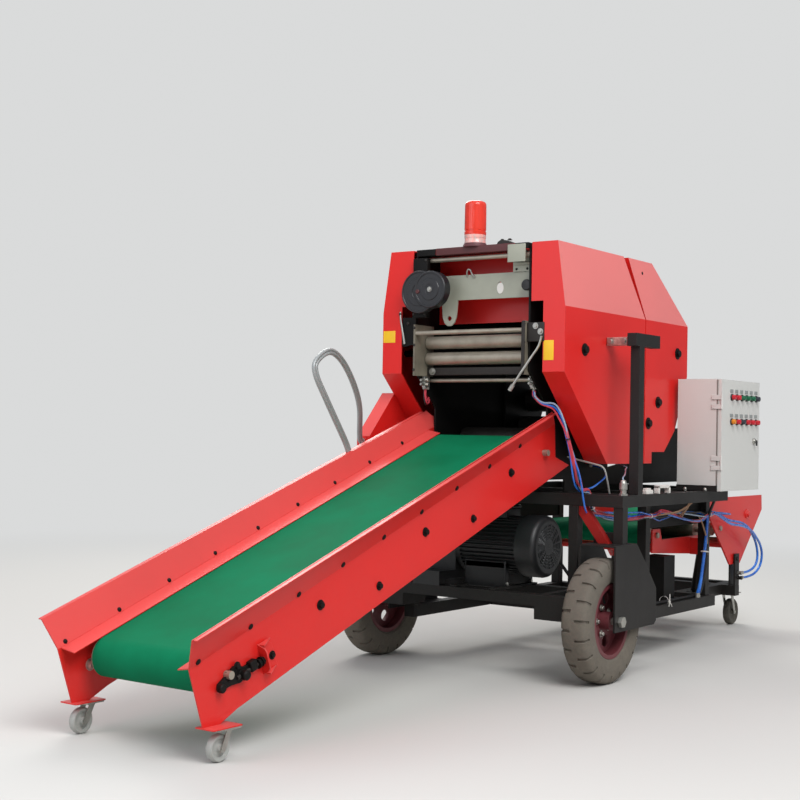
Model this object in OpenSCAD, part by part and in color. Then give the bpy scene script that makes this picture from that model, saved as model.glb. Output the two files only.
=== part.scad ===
// Round baler on two wheels, with a feed conveyor in front, a drop gate behind and a bale table.
// Lengths are in millimetres. +X points to the rear, +Z up, and the near side, with the cabinet, is -Y.
// Heights are above the floor. Places along X are written from the wheel axle and moved by place().

/* [Wheels] */
// Radius of the main tyres
tyre_r = 237.5; // [220:0.5:250]
// Width of the main tyres
tyre_w = 112; // [100:1:124]
// Radius of the rim's outer edge
rim_r = 143; // [130:1:155]
// Distance from the middle of the machine to the middle of a tyre
track_half = 521; // [515:1:524]
// Radius of the stub axles
axle_r = 14; // [10:1:18]

/* [Frame] */
// Outer side of the lower rails, from the middle
rail_y = 412; // [405:1:416]
// Height of the underside of the lower rails
rail_z = 165; // [165:1:166]
// Size of the square lower rail tube
rail_s = 50; // [40:1:56]
// Rear end of the lower rails
rail_end = 1335; // [1300:5:1400]
// Outer side of the upper side tubes, from the middle
deck_y = 590; // [585:1:600]
// Height of the top of the upper frame
deck_z = 710; // [700:1:720]
// Height of the upper frame's tubes
deck_h = 46; // [40:1:50]
// Width of the upper frame's tubes
deck_w = 40; // [36:1:44]
// Side of the square tall post
post_s = 40; // [36:1:44]
// Height of the top of the post's arm
arm_z = 1337; // [1300:1:1360]

/* [Covers] */
// Outer side of the red side covers, from the middle
cover_y = 426; // [420:1:432]
// Height of the top of the covers
cover_top = 1675; // [1640:5:1700]
// Height at which the covers start to lean inwards
bevel_z = 1425; // [1400:5:1450]
// How far the covers lean in at the top
bevel_in = 35; // [20:1:50]
// Thickness of the cover walls
skin = 5; // [3:0.5:8]
// Front face of the covers
cover_x0 = -149; // [-155:1:-145]
// Rear end of the covers
cover_x1 = 960; // [940:5:980]
// Gap between the fixed covers and the gate's covers
seam_gap = 8; // [6:1:12]

/* [Chamber] */
// Inner face of the fixed chamber plates, from the middle
plate_y = 261; // [261:0.5:263]
// Thickness of the chamber plates
plate_t = 8; // [6:1:8]
// Height of the middle of the bale chamber
bale_z = 1170; // [1160:5:1180]
// Radius of the bale
bale_r = 275; // [260:5:280]
// Radius of the chamber rollers
roller_r = 50; // [40:1:54]

/* [Conveyor] */
// Slope of the feed conveyor in degrees
slope = 19.4; // [19:0.1:20]
// Distance between the two drums
belt_run = 1890; // [1850:5:1900]
// Half the width of the belt
belt_half = 215; // [200:1:220]
// Radius of the conveyor drums
drum_r = 59; // [50:1:62]
// Thickness of the conveyor side plates
side_t = 4; // [3:0.5:6]
// How far the side boards flare outwards
flare = 44; // [30:1:50]

/* [Casters] */
// Radius of the front caster wheels
cast_f_r = 40; // [35:0.5:42]
// Radius of the rear caster wheels
cast_r_r = 65; // [58:0.5:66]

/* [Cabinet] */
// Length of the control cabinet
cab_l = 425; // [415:5:460]
// Height of the control cabinet
cab_h = 478; // [450:1:520]
// Depth of the control cabinet with its door
cab_d = 200; // [180:1:205]
// Wall thickness of the cabinet
cab_t = 6; // [3:0.5:10]
// Thickness of the cabinet door
door_t = 16; // [10:1:20]

/* [Bale table] */
// Middle of the table's side plates, from the middle of the machine
table_y = 320; // [316:1:322]
// Thickness of the table's side plates
table_t = 8; // [6:1:10]
// Height of the table's pivot
pivot_z = 345; // [340:1:350]

/* [Hidden] */
$fn = 48;

red = "#d8332f";
steel = "#3a3837";
grey = "#c6c4bc";
pale_steel = "#a8a094";
green = "#1f8058";
black = "#262626";

button_h = 22;
nut_h = 14;
table_tip_x = 2130;

near = -1;
far = 1;
seat = 0.3;

module place() {
    translate([-mid_x, -mid_y, 0]) children();
}

module box(x0, x1, y0, y1, z0, z1) {
    translate([min(x0, x1), min(y0, y1), min(z0, z1)])
        cube([abs(x1 - x0), abs(y1 - y0), abs(z1 - z0)]);
}

// The same box on both sides of the machine
module pair_box(x0, x1, y0, y1, z0, z1) {
    for (side = [near, far]) box(x0, x1, side * y0, side * y1, z0, z1);
}

module rod_y(x, z, r, y0, y1) {
    translate([x, min(y0, y1), z]) rotate([-90, 0, 0]) cylinder(r = r, h = abs(y1 - y0));
}

// An outline in X and Z with a thickness from y0 to y1
module slab_y(outline, y0, y1) {
    translate([0, max(y0, y1), 0]) rotate([90, 0, 0]) linear_extrude(abs(y1 - y0)) polygon(outline);
}

// An outline in Y and Z with a length from x0 to x1
module slab_x(outline, x0, x1) {
    translate([x0, 0, 0]) rotate([90, 0, 90]) linear_extrude(x1 - x0) polygon(outline);
}

module mirror_far() {
    children();
    mirror([0, 1, 0]) children();
}

function unit(v) = v / norm(v);
// A closed outline moved inwards by w; the outline runs anticlockwise
function inset(p, w) = [for (i = [0:len(p) - 1])
    let (a = p[(i + len(p) - 1) % len(p)], b = p[i], c = p[(i + 1) % len(p)],
         u = unit(b - a), v = unit(c - b),
         turn = u[0] * v[1] - u[1] * v[0])
    b + (v - u) * w / turn];

// Lower frame: two rails with cross members, on which the whole machine stands
rail_x0 = 20;
rail_top = rail_z + rail_s;
rail_in = rail_y - rail_s;

module lower_frame() {
    color(steel) {
        pair_box(rail_x0, rail_end, rail_in, rail_y, rail_z, rail_top);
        for (x = [620, 1060, rail_end - rail_s])
            box(x, x + rail_s, -rail_in, rail_in, rail_z, rail_top);
    }
}

// Front beam, carried by a flat bracket at each side
beam_x = -141;
beam_w = 43;
beam_top = 328;
beam_bottom = 285;
stub_bottom = 235;
stub_in = 307;
beam_y = 443;

module front_beam() {
    color(steel) {
        box(beam_x, beam_x + beam_w, -beam_y, beam_y, beam_bottom, beam_top);
        pair_box(beam_x, rail_x0, stub_in, fork_in - fork_t, stub_bottom, beam_bottom);
        box(motor_x + 90, motor_x + 130, -stub_in - 10, stub_in + 10, beam_bottom, beam_top);
        pair_box(beam_x + beam_w, motor_x + 130, stub_in, stub_in + 30, beam_bottom, beam_top);
    }
}

// Rear frame under the bale table
sub_y = 265;
sub_end = 1960;
sub_t = 50;
pivot_x = 1781;
ear_t = 8;
ear_gap = 5;
loop_end_x = 1800;

module rear_frame() {
    ear_in = table_y - table_t / 2 - ear_gap - ear_t;
    ear_out = table_y + table_t / 2 + ear_gap;
    color(steel) {
        pair_box(rail_end, sub_end, sub_y - sub_t, sub_y, rail_z, rail_top);
        box(sub_end - sub_t, sub_end, -sub_y + sub_t, sub_y - sub_t, rail_z, rail_top);
        box(pivot_x - 25, pivot_x + 25, -table_y - 18, table_y + 18, rail_z, rail_top);
        for (side = [near, far]) {
            for (y = [ear_in, ear_out])
                box(pivot_x - 25, pivot_x + 25, side * y, side * (y + ear_t), rail_top, pivot_z + 25);
            rod_y(pivot_x, pivot_z, pin_r, side * (ear_in - 6), side * (ear_out + ear_t + 6));
        }
        // the foot of the lifting cylinder
        for (y = [cyl_y - 20, cyl_y + 12])
            box(rail_end, cyl_x + 18, y, y + 8, cyl_z - 18, cyl_z + 18);
        rod_y(cyl_x, cyl_z, 8, cyl_y - 23, cyl_y + 23);
        // the elbow that the loop of hose ends in
        rod_y(loop_end_x - 9.5, 252, 9, -ear_out - ear_t, -ear_out - ear_t - 22);
    }
}

pin_r = 10;

// Uprights between the lower rails and the upper frame
upright_w = 40;
upright_x = [rail_x0, 620, 1245];

module uprights() {
    color(steel)
        for (x = upright_x)
            pair_box(x, x + upright_w, rail_y - 50, rail_y - 10, rail_top, deck_z - deck_h);
}

// Upper frame: outer side tubes and cross members
deck_x0 = 26;
deck_x1 = 1040;
cross_x = [26, 150, 480];
link_x = [620, 1000];
rear_x = upright_x[2] + upright_w;

module upper_frame() {
    color(steel) {
        pair_box(deck_x0, deck_x1, deck_y - deck_w, deck_y, deck_z - deck_h, deck_z);
        for (x = cross_x)
            box(x, x + 40, -deck_y + deck_w, deck_y - deck_w, deck_z - deck_h, deck_z);
        // inner tubes over the uprights leave the bale its way down
        pair_box(520, rear_x, rail_y - 50, rail_y - 10, deck_z - deck_h, deck_z);
        for (x = link_x) pair_box(x, x + 40, rail_y - 10, deck_y - deck_w, deck_z - deck_h, deck_z);
        box(rear_x - 40, rear_x, -rail_y + 50, rail_y - 50, deck_z - deck_h, deck_z);
        // the strip on the deck that the cabinet is bolted to
        box(cab_x - 6, cab_x, cab_y, cab_y - cab_d + door_t, deck_z, deck_z + 24);
    }
}

// A tall post at each side, with a short arm and a flat link to the chamber
post_x = 155;
arm_x0 = 124;
arm_x1 = 333;
arm_h = 50;

module side_posts() {
    color(steel)
        for (side = [near, far]) {
            box(post_x, post_x + post_s, side * (deck_y - post_s), side * deck_y, deck_z, arm_z - arm_h);
            box(arm_x0, arm_x1, side * (deck_y - post_s), side * deck_y, arm_z - arm_h, arm_z);
            box(190, 230, side * (cover_y + 0.5), side * (deck_y - post_s), arm_z - 40, arm_z - 12);
        }
}

// Forks that carry the main wheels: an outer plate, a top plate and an inner plate
fork_out = 600;
fork_t = 8;
fork_in = 450;
fork_top = 525;
fork_outline = [[-45, 200], [290, 200], [310, 215], [307, 341], [208, 449], [131, fork_top], [-45, fork_top]];

module wheel_forks() {
    color(steel)
        for (side = [near, far]) {
            difference() {
                slab_y(fork_outline, side * (fork_out - fork_t), side * fork_out);
                rod_y(0, tyre_r, axle_r + 0.1, side * (fork_out - fork_t - 1), side * (fork_out + 1));
            }
            box(-45, 131, side * fork_in, side * (fork_out - fork_t), fork_top - fork_t, fork_top);
            difference() {
                slab_y([[-45, 200], [310, 200], [310, 300], [131, fork_top - fork_t], [-45, fork_top - fork_t]],
                    side * (fork_in - fork_t), side * fork_in);
                rod_y(0, tyre_r, axle_r + 0.1, side * (fork_in - fork_t - 1), side * (fork_in + 1));
            }
            // spacers to the lower rail, and the two short posts up to the upper frame
            box(60, 300, side * rail_y, side * (fork_in - fork_t), 205, rail_top);
            box(30, 70, side * (deck_y - 40), side * deck_y, fork_top, deck_z - deck_h);
            box(60, 100, side * (deck_y - 40), side * (fork_in), fork_top, fork_top + 40);
        }
}

module axles() {
    color(pale_steel)
        for (side = [near, far]) {
            rod_y(0, tyre_r, axle_r, side * (fork_in - fork_t), side * (fork_out + 12));
            translate([0, side * (fork_out + 0.2), tyre_r]) rotate([-side * 90, 0, 0]) cylinder(r = 22, h = nut_h, $fn = 6);
        }
}

module tyre(side) {
    color("#6f6861")
        translate([0, side * track_half, tyre_r]) rotate([90, 0, 0]) rotate_extrude($fn = 96)
            polygon([[rim_r - 8, -40 + seat], [rim_r + seat, -40 + seat], [rim_r + seat, -44], [rim_r + 25, -tyre_w / 2 + 4], [rim_r + 55, -tyre_w / 2],
                [tyre_r - 16, -tyre_w / 2 + 6], [tyre_r - 3, -tyre_w / 2 + 22], [tyre_r, -20], [tyre_r, 20],
                [tyre_r - 3, tyre_w / 2 - 22], [tyre_r - 16, tyre_w / 2 - 6], [rim_r + 55, tyre_w / 2],
                [rim_r + 25, tyre_w / 2 - 4], [rim_r + seat, 44], [rim_r + seat, 40 - seat], [rim_r - 8, 40 - seat]]);
}

module rim(side) {
    color("#5a2a30")
        translate([0, side * track_half, tyre_r]) rotate([90, 0, 0]) difference() {
            union() {
                rotate_extrude($fn = 96)
                    polygon([[rim_r - 16, -44], [rim_r, -44], [rim_r, -40], [rim_r - 8 - seat, -40],
                        [rim_r - 8 - seat, 40], [rim_r, 40], [rim_r, 44], [rim_r - 16, 44]]);
                translate([0, 0, -6]) cylinder(r = rim_r - 12, h = 8);
                translate([0, 0, -46]) cylinder(r = 34, h = 92);
            }
            translate([0, 0, -50]) cylinder(r = axle_r + 0.05, h = 100);
            for (i = [0:4]) rotate(i * 72) translate([84, 0, -10]) cylinder(r = 24, h = 16);
        }
}

// Feed conveyor. A point at s along the slope and n above the belt's upper side:
head_x = -48;
head_z = 926;
function along(s, n) = [head_x + s * cos(slope) - n * sin(slope), head_z + s * sin(slope) + n * cos(slope)];
module on_slope() {
    translate([head_x, 0, head_z]) rotate([0, -slope, 0]) children();
}
belt_t = 4;
drum_n = -drum_r - belt_t;
board_y = 269;
fold_n = 16;
board_s0 = -belt_run - 130;
board_s1 = 118;
tail_x = head_x + board_s0 * cos(slope);
rise_front = 110;
rise_back = 82;
board_drop = 178;
foot_z = 97;
foot_x0 = round(tail_x + 54);
foot_x1 = round(tail_x + 118);
shaft_r = 12;

side_outline = [along(board_s0, rise_front), [foot_x0, foot_z + 2], [foot_x1, foot_z + 2], along(board_s0 + 144, -board_drop),
    along(176, -board_drop), along(82, -110), along(board_s1, fold_n), along(board_s1 - 49, rise_back)];

// An upright plate that leans outwards above the fold, trimmed to its outline, with a rim, a ledge and a foot
module conveyor_side(side) {
    rise_angle = atan2(rise_back - rise_front, board_s1 - 49 - board_s0);
    color(red) {
        difference() {
            intersection() {
                slab_y(side_outline, side * 200, side * 420);
                on_slope() slab_x([[side * board_y, -420], [side * (board_y + side_t), -420],
                    [side * (board_y + side_t), fold_n], [side * (board_y + side_t + flare), rise_front + 8],
                    [side * (board_y + flare), rise_front + 8], [side * board_y, fold_n]], -2400, 400);
            }
            for (s = [0, -belt_run]) let (c = along(s, drum_n))
                rod_y(c[0], c[1], shaft_r + 0.3, side * (board_y - 1), side * (board_y + side_t + 1));
        }
        on_slope() {
            translate([board_s0, 0, rise_front]) rotate([0, -rise_angle, 0])
                box(3, board_s1 - board_s0 - 55, side * (board_y + flare - 4), side * (board_y + flare + 14), -4, -1);
            slab_x([[side * (board_y + 1), fold_n - 1], [side * (board_y + 1), fold_n - 5],
                [side * (belt_half - 2), 1.5], [side * (belt_half - 2), 4.5]], board_s0 + 12, 20);
        }
        box(foot_x0 - 4, foot_x1 + 50, side * (board_y - 22), side * (board_y + 48), foot_z, foot_z + 4);
    }
}

module conveyor_bed() {
    color(steel) on_slope() {
        box(-belt_run + 20, -40, -board_y, board_y, -belt_t - seat - 3, -belt_t - seat);
        for (share = [0.9, 0.66, 0.42, 0.18])
            translate([-share * belt_run, 0, -62]) rotate([90, 0, 0]) cylinder(r = 17, h = 2 * board_y, center = true);
    }
}

module belt_loop(run, r, half) {
    rotate([90, 0, 0]) linear_extrude(2 * half, center = true) {
        difference() {
            union() {
                translate([-run, -r]) square([run, 2 * r]);
                circle(r = r);
                translate([-run, 0]) circle(r = r);
            }
            union() {
                translate([-run, -r + belt_t]) square([run, 2 * (r - belt_t)]);
                circle(r = r - belt_t);
                translate([-run, 0]) circle(r = r - belt_t);
            }
        }
    }
}

module conveyor_belt() {
    color(green) on_slope() translate([0, 0, drum_n]) belt_loop(belt_run, drum_r + belt_t, belt_half);
}

module conveyor_drums() {
    color(pale_steel)
        for (s = [0, -belt_run]) let (c = along(s, drum_n)) {
            rod_y(c[0], c[1], drum_r - seat, -belt_half - 8, belt_half + 8);
            rod_y(c[0], c[1], shaft_r, -board_y - 26, board_y + 26);
        }
}

// Screw take-ups that tension the belt: a bearing block, a screw and its end bracket
module take_ups() {
    color(black)
        for (side = [near, far]) on_slope() translate([-belt_run, 0, drum_n]) {
            difference() {
                box(-26, 26, side * (board_y + side_t), side * (board_y + side_t + 18), -20, 20);
                rotate([90, 0, 0]) cylinder(r = shaft_r + 0.2, h = 700, center = true);
            }
            translate([26, side * (board_y + side_t + 9), 0]) rotate([0, 90, 0]) cylinder(r = 6, h = 170);
            box(150, 172, side * (board_y + side_t), side * (board_y + side_t + 24), -22, 22);
        }
}

// Casters: radius, width, height, trail, swivel place and fork reach, front then rear
cast_f = [cast_f_r, 24, foot_z, 28, foot_x1 + 13, 284];
cast_r = [cast_r_r, 34, rail_z, 38, 1902, 240];
king_r = 7;
cast_plate_t = 5;

// The fork turns under its plate; it trails towards dir
module caster_fork(c, side, dir) {
    leg = c[1] / 2 + 4;
    top = c[2] - cast_plate_t - 0.5;
    color(c == cast_f ? grey : "#8c8f92") translate([c[4], side * c[5], 0]) {
        translate([0, 0, top - 6]) cylinder(r = leg + 2, h = 6);
        translate([0, 0, top]) cylinder(r = king_r - 0.05, h = cast_plate_t + 0.5);
        for (s = [-1, 1]) difference() {
            slab_y([[dir * -leg * 0.7, top - 3], [dir * (c[3] - 9), c[0] - 10], [dir * (c[3] + 9), c[0] - 10],
                [dir * leg * 0.7, top - 3]], s * leg, s * (leg + 3));
            rod_y(dir * c[3], c[0], 5.1, s * (leg - 1), s * (leg + 4));
        }
        box(-leg * 0.7, leg * 0.7, -leg - 3, leg + 3, top - 4, top);
        rod_y(dir * c[3], c[0], 5, -leg - 5, leg + 5);
    }
}

module caster_wheel(c, side, dir) {
    color(c == cast_f ? "#b9bab4" : "#4a4846") translate([c[4] + dir * c[3], side * c[5], c[0]]) rotate([90, 0, 0])
        difference() {
            union() {
                translate([0, 0, -c[1] / 2]) cylinder(r = c[0], h = c[1]);
                cylinder(r = 11, h = c[1] + 6, center = true);
            }
            cylinder(r = 5.05, h = c[1] + 10, center = true);
        }
}

module caster_plates() {
    color(pale_steel)
        for (c = [cast_f, cast_r], side = [near, far]) difference() {
            half = c == cast_f ? 34 : 50;
            box(c[4] - half, c[4] + half, side * (c[5] - half), side * (c[5] + half), c[2] - cast_plate_t, c[2]);
            translate([c[4], side * c[5], 0]) cylinder(r = king_r, h = 400);
        }
}

// Fixed half of the bale chamber
hinge_x = 430;
hinge_z = 1640;
hinge_r = 14;
seam_x = 540;
plate_out = plate_y + plate_t;
chamber_x0 = -140;
guide_x0 = 520.3;

module chamber_plates() {
    color(black) {
        for (side = [near, far]) difference() {
            slab_y([[chamber_x0, 1660], [chamber_x0, 1180], [5, 1040], [5, 760], [150, 760], [150, deck_z],
                [guide_x0 - seat, deck_z], [guide_x0 - seat, 840],
                [seam_x + 5, 840], [seam_x + 5, 1425], [455, 1600], [450, 1660]],
                side * plate_y, side * plate_out);
            rod_y(hinge_x, hinge_z, hinge_r, side * (plate_y - 1), side * (plate_out + 1));
        }
        // rings and bolts that carry the covers
        for (side = [near, far], p = [[10, 1268], [330, 1380], [350, 900]])
            rod_y(p[0], p[1], 14, side * plate_out, side * (cover_y - skin));
        rod_y(hinge_x, hinge_z, hinge_r, -plate_out - 8, plate_out + 8);
    }
}

// Rollers stand around the bale; each column is an angle from the rear, anticlockwise
bale_x = 430;
ring_r = bale_r + roller_r;
fixed_angles = [104, 126, 148, 232, 254];
gate_angles = [-62, -38, -14, 10, 34, 58];

module ring_roller(angle, half) {
    rod_y(bale_x + ring_r * cos(angle), bale_z + ring_r * sin(angle), roller_r, -half, half);
    rod_y(bale_x + ring_r * cos(angle), bale_z + ring_r * sin(angle), 15, -half - 5, half + 5);
}

module chamber_rollers() {
    color(pale_steel)
        for (a = fixed_angles) ring_roller(a, plate_y - 5);
}

module top_sheet() {
    color(red) {
        box(-60, 395, -plate_y, plate_y, 1652, 1656);
        box(20, 24, -plate_y, plate_y, 1385, 1652);
        box(-150, -96, -plate_y, plate_y, 1650, cover_top);
        box(-96, -60, -plate_y, plate_y, 1652, 1656);
    }
}

// Net unit in the mouth
net_x0 = -165;
net_x1 = -30;
net_roller_r = 26;
net_t = 8;

module net_side_plates() {
    color("#8f8b80") {
        for (side = [near, far]) difference() {
            box(net_x0, net_x1, side * (plate_y - net_t), side * plate_y, 1166, 1373);
            for (z = [1303, 1238]) rod_y(-70, z, 10, side * (plate_y - net_t - 1), side * (plate_y + 1));
        }
    }
}

module net_rods() {
    color("#8f8b80") {
        box(-75, -45, -plate_y + net_t, plate_y - net_t, 1172, 1200);
        rod_y(-155, 1338, 9, -plate_y + net_t, plate_y - net_t);
        rod_y(-50, 1150, 8, -plate_y, plate_y);
        rod_y(-130, 1632, 9, -plate_y, plate_y);
    }
}

// Air valves that hang under the net unit's side plates
valve_x = -81;
valve_y = plate_y - 6;
valve_r = 5;
valve_z = 1104;

module net_valves() {
    color(pale_steel)
        for (side = [near, far]) {
            box(valve_x - 17, valve_x + 17, side * (plate_y - 14.5), side * (plate_y - seat), valve_z + 18, 1166);
            translate([valve_x, side * valve_y, valve_z]) cylinder(r = valve_r, h = 22);
        }
}

module net_rollers() {
    color(pale_steel)
        for (z = [1303, 1238]) {
            rod_y(-70, z, net_roller_r, -plate_y + net_t + 4, plate_y - net_t - 4);
            rod_y(-70, z, 9.8, -plate_y, plate_y);
        }
}

module net_cross_plate() {
    color("#b0b2a4") {
        difference() {
            box(-100, -94, -plate_y, plate_y, 1470, 1570);
            translate([-101, -105, 1520]) rotate([0, 90, 0]) scale([1, 0.62, 1]) cylinder(r = 16, h = 8);
        }
        difference() {
            slab_x([[170, 1470], [92, 1470], [98, 1404], [107, 1380], [121, 1368], [141, 1368], [155, 1380], [164, 1404]], -100, -94);
            translate([-101, 131, 1398]) rotate([0, 90, 0]) cylinder(r = 10, h = 8);
        }
        box(-106, -94, -245, -168, 1570, 1650);
    }
}

module pulley_guard() {
    color(black) {
        box(-165, chamber_x0, 200, 269, 1400, 1640);
        for (d = [[218, 1501, 86], [160, 1508, 74]])
            translate([-205, d[0], d[1]]) rotate([0, 90, 0]) cylinder(r = d[2], h = 40);
    }
}

beacon_x = -122;
module beacon_base() {
    color("white") {
        translate([beacon_x, 0, cover_top]) cylinder(r = 48, h = 14);
        translate([beacon_x, 0, cover_top + 14]) cylinder(r = 43, h = 34);
    }
}

module beacon_lens() {
    color("#e0402c") translate([beacon_x, 0, cover_top + 48]) {
        cylinder(r = 43.5, h = 128);
        translate([0, 0, 128]) cylinder(r1 = 43.5, r2 = 37, h = 8);
    }
}

// Covers: an outline in X and Z meets an outline in Y and Z, and a smaller pair hollows them
seam_top_front = 398;
seam_top_rear = 440;
fixed_outline = [[cover_x0, 1176], [209, 825], [seam_x - seam_gap / 2, 825], [seam_x - seam_gap / 2, bevel_z],
    [seam_top_front, cover_top], [cover_x0, cover_top]];
gate_outline = [[seam_x + seam_gap / 2, 825], [613, 825], [613, 873], [734, 873], [839, 966], [cover_x1, 1204],
    [cover_x1, bevel_z], [663, cover_top], [seam_top_rear, cover_top], [seam_x + seam_gap / 2, bevel_z]];
cap_low = 331;
cap_high = 278;
cap_step = 1448;
function cover_section(side, w) = [[side * (cap_low - 500 * w), 825 + w * skin], [side * (cover_y - w * skin), 825 + w * skin],
    [side * (cover_y - w * skin), bevel_z], [side * (cover_y - bevel_in - w * skin), cover_top - w * skin],
    [side * (cap_high - 500 * w), cover_top - w * skin], [side * (cap_high - 500 * w), cap_step],
    [side * (cap_low - 500 * w), cap_step]];

module cover_shell(outline, side) {
    color(red) difference() {
        intersection() {
            slab_y(outline, 0, side * 700);
            slab_x(cover_section(side, 0), -400, 1400);
        }
        intersection() {
            slab_y(inset(outline, skin), 0, side * 700);
            slab_x(cover_section(side, 1), -400, 1400);
        }
    }
}

// Gate: the rear half of the chamber, hung on the hinge tube
gate_y = 248;
gate_t = 8;
gate_plate = [[seam_x - 5, 840], [600, 840], [600, 887], [728, 887], [828, 974], [946, 1207], [946, 1419],
    [657, 1661], [412, 1661], [405, 1622], [470, 1580], [seam_x - 5, 1425]];
gate_bolts = [[856, 1300], [667, 1083], [576, 993], [640, 1390]];

module gate_plates() {
    color(black) {
        for (side = [near, far]) difference() {
            slab_y(gate_plate, side * gate_y, side * (gate_y + gate_t));
            rod_y(hinge_x, hinge_z, hinge_r + 0.05, side * (gate_y - 1), side * (gate_y + gate_t + 1));
        }
        for (side = [near, far], p = gate_bolts)
            rod_y(p[0], p[1], 14, side * (gate_y + gate_t), side * (cover_y - skin));
        for (p = [[900, 1400], [900, 1230], [640, 1630]])
            rod_y(p[0], p[1], 20, -gate_y, gate_y);
    }
    color(red) slab_y([[930, 1210], [940, 1210], [940, 1416], [660, 1652], [480, 1652], [480, 1646], [656, 1646], [930, 1412]],
        -gate_y, gate_y);
}

module gate_rollers() {
    color(pale_steel)
        for (a = gate_angles) ring_roller(a, gate_y - 5);
}

// Drive: an electric motor across the front of the frame, a gearbox and a chain guard at the far side
motor_x = 60;
motor_z = 494;
motor_r = 118;
motor_y0 = -254;
motor_y1 = 120;

module motor() {
    color(black) {
        rod_y(motor_x, motor_z, motor_r + 5, motor_y0, motor_y0 + 90);
        rod_y(motor_x, motor_z, motor_r - 9, motor_y0 + 84, motor_y1 - 18);
        rod_y(motor_x, motor_z, motor_r, motor_y1 - 24, motor_y1);
        for (i = [0:23]) translate([motor_x, 0, motor_z]) rotate([0, i * 15, 0])
            box(-2, 2, motor_y0 + 86, motor_y1 - 20, motor_r - 14, motor_r - 2);
        box(motor_x - 55, motor_x + 55, -90, 40, motor_z + motor_r - 16, motor_z + motor_r + 38);
        for (x = [motor_x - 108, motor_x + 78])
            box(x, x + 30, -120, 70, beam_top, motor_z - 60);
        box(motor_x - 108, motor_x + 108, -120, 70, motor_z - 92, motor_z - 60);
        box(beam_x + 3, motor_x + 130, -130, -100, beam_top, beam_top + 8);
        box(beam_x + 3, motor_x + 130, 50, 80, beam_top, beam_top + 8);
    }
}

module gearbox() {
    color(steel) {
        box(motor_x - 100, motor_x + 100, motor_y1, motor_y1 + 150, motor_z - 110, motor_z + 110);
        for (x = [beam_x, motor_x + 90])
            box(x, x + 40, motor_y1 + 10, motor_y1 + 140, beam_top, beam_top + 20);
        box(beam_x, motor_x + 130, motor_y1 + 10, motor_y1 + 140, beam_top + 20, motor_z - 110);
        rod_y(shaft_x, motor_z, 15, motor_y1 + 150, leg_y0);
    }
}

shaft_x = 108;
leg_y0 = 413;
leg_y1 = 440;
guard_y0 = cover_y + seat;
guard_y1 = 490;
guard_outline = [[-150, 850], [250, 850], [250, 1099], [-61, 1099], [-228, 918], [-228, 880]];

module drive_guard() {
    color(red) {
        slab_y(guard_outline, guard_y0, guard_y1);
        box(shaft_x - 34, shaft_x + 34, leg_y0, leg_y1, motor_z - 50, 860);
    }
}

// A bent tube in front of the far side, from the conveyor's board to the chain guard
hoop_r = 8;
hoop_s = -455;
hoop_foot = rise_front + (rise_back - rise_front) * (hoop_s - board_s0) / (board_s1 - board_s0);
function on_board(n) = [along(hoop_s, n)[0], board_y + flare + 6, along(hoop_s, n)[1]];
hoop_points = [on_board(hoop_foot - 1 + seat), on_board(hoop_foot + 25), [-700, 325, 1146], [-600, 340, 1248],
    [-330, 400, 1035], [-262, 458, 893], [-228 - seat, 458, 893]];

module tube(points, r) {
    for (i = [0:len(points) - 2]) {
        d = points[i + 1] - points[i];
        translate(points[i]) rotate([0, acos(d[2] / norm(d)), atan2(d[1], d[0])]) cylinder(r = r, h = norm(d), $fn = 24);
        if (i > 0) translate(points[i]) sphere(r = r + 0.5, $fn = 24);
    }
}

module hoop() {
    color("#9a9d9f") tube(hoop_points, hoop_r);
}

// Air hoses: a smooth line runs through the route's points, and a ring of corners follows it
function between(a, b, c, d, t) = 0.5 * (2 * b + (c - a) * t + (2 * a - 5 * b + 4 * c - d) * t * t
    + (3 * b - a - 3 * c + d) * t * t * t);
function smooth_line(p, steps) = concat([for (i = [0:len(p) - 2], k = [0:steps - 1])
    let (a = i == 0 ? 2 * p[0] - p[1] : p[i - 1],
         d = i == len(p) - 2 ? 2 * p[i + 1] - p[i] : p[i + 2])
    between(a, p[i], p[i + 1], d, k / steps)], [p[len(p) - 1]]);
function ring_at(c, t, r, sides) = let (u = unit(cross(t, [0, 1, 0])), v = cross(u, t))
    [for (k = [0:sides - 1]) c + r * (cos(360 * k / sides) * u + sin(360 * k / sides) * v)];

module hose(line, r, sides) {
    last = len(line) - 1;
    rings = [for (i = [0:last]) each ring_at(line[i], unit(line[min(i + 1, last)] - line[max(i - 1, 0)]), r, sides)];
    walls = [for (i = [0:last - 1], k = [0:sides - 1])
        let (a = i * sides + k, b = i * sides + (k + 1) % sides)
        each [[a, b, b + sides], [a, b + sides, a + sides]]];
    polyhedron(rings, concat([[for (k = [sides - 1:-1:0]) k]], walls, [[for (k = [0:sides - 1]) last * sides + k]]));
}

// The bundle runs from the near valve over the front of the deck and along the uprights' outer faces
bundle_r = 9;
bundle_y = -rail_y + 10 - bundle_r - seat;
bundle_end = [1300, bundle_y, 588];
bundle_route = [[valve_x, -valve_y, valve_z - seat], [-80, -258, 1082], [-71, -287, 1056], [-56, -335, 1042],
    [-50, -368, 985], [-50, -392, 920], [-42, -405, 860], [-30, bundle_y, 800], [-10, bundle_y, 752], [20, bundle_y, 728],
    [44, bundle_y, deck_z + 10.5], [66, bundle_y, deck_z + 10], [86, bundle_y, 713], [101, bundle_y, 690],
    [112, bundle_y, 664], [132, bundle_y, 644], [175, bundle_y, 630],
    [300, bundle_y, 616], [460, bundle_y, 607], [640, bundle_y, 602], [850, bundle_y, 590], [1060, bundle_y, 583],
    [1200, bundle_y, 585], bundle_end];

module air_hoses() {
    color("#3c5f9c") hose(smooth_line(bundle_route, 3), bundle_r, 8);
}

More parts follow.
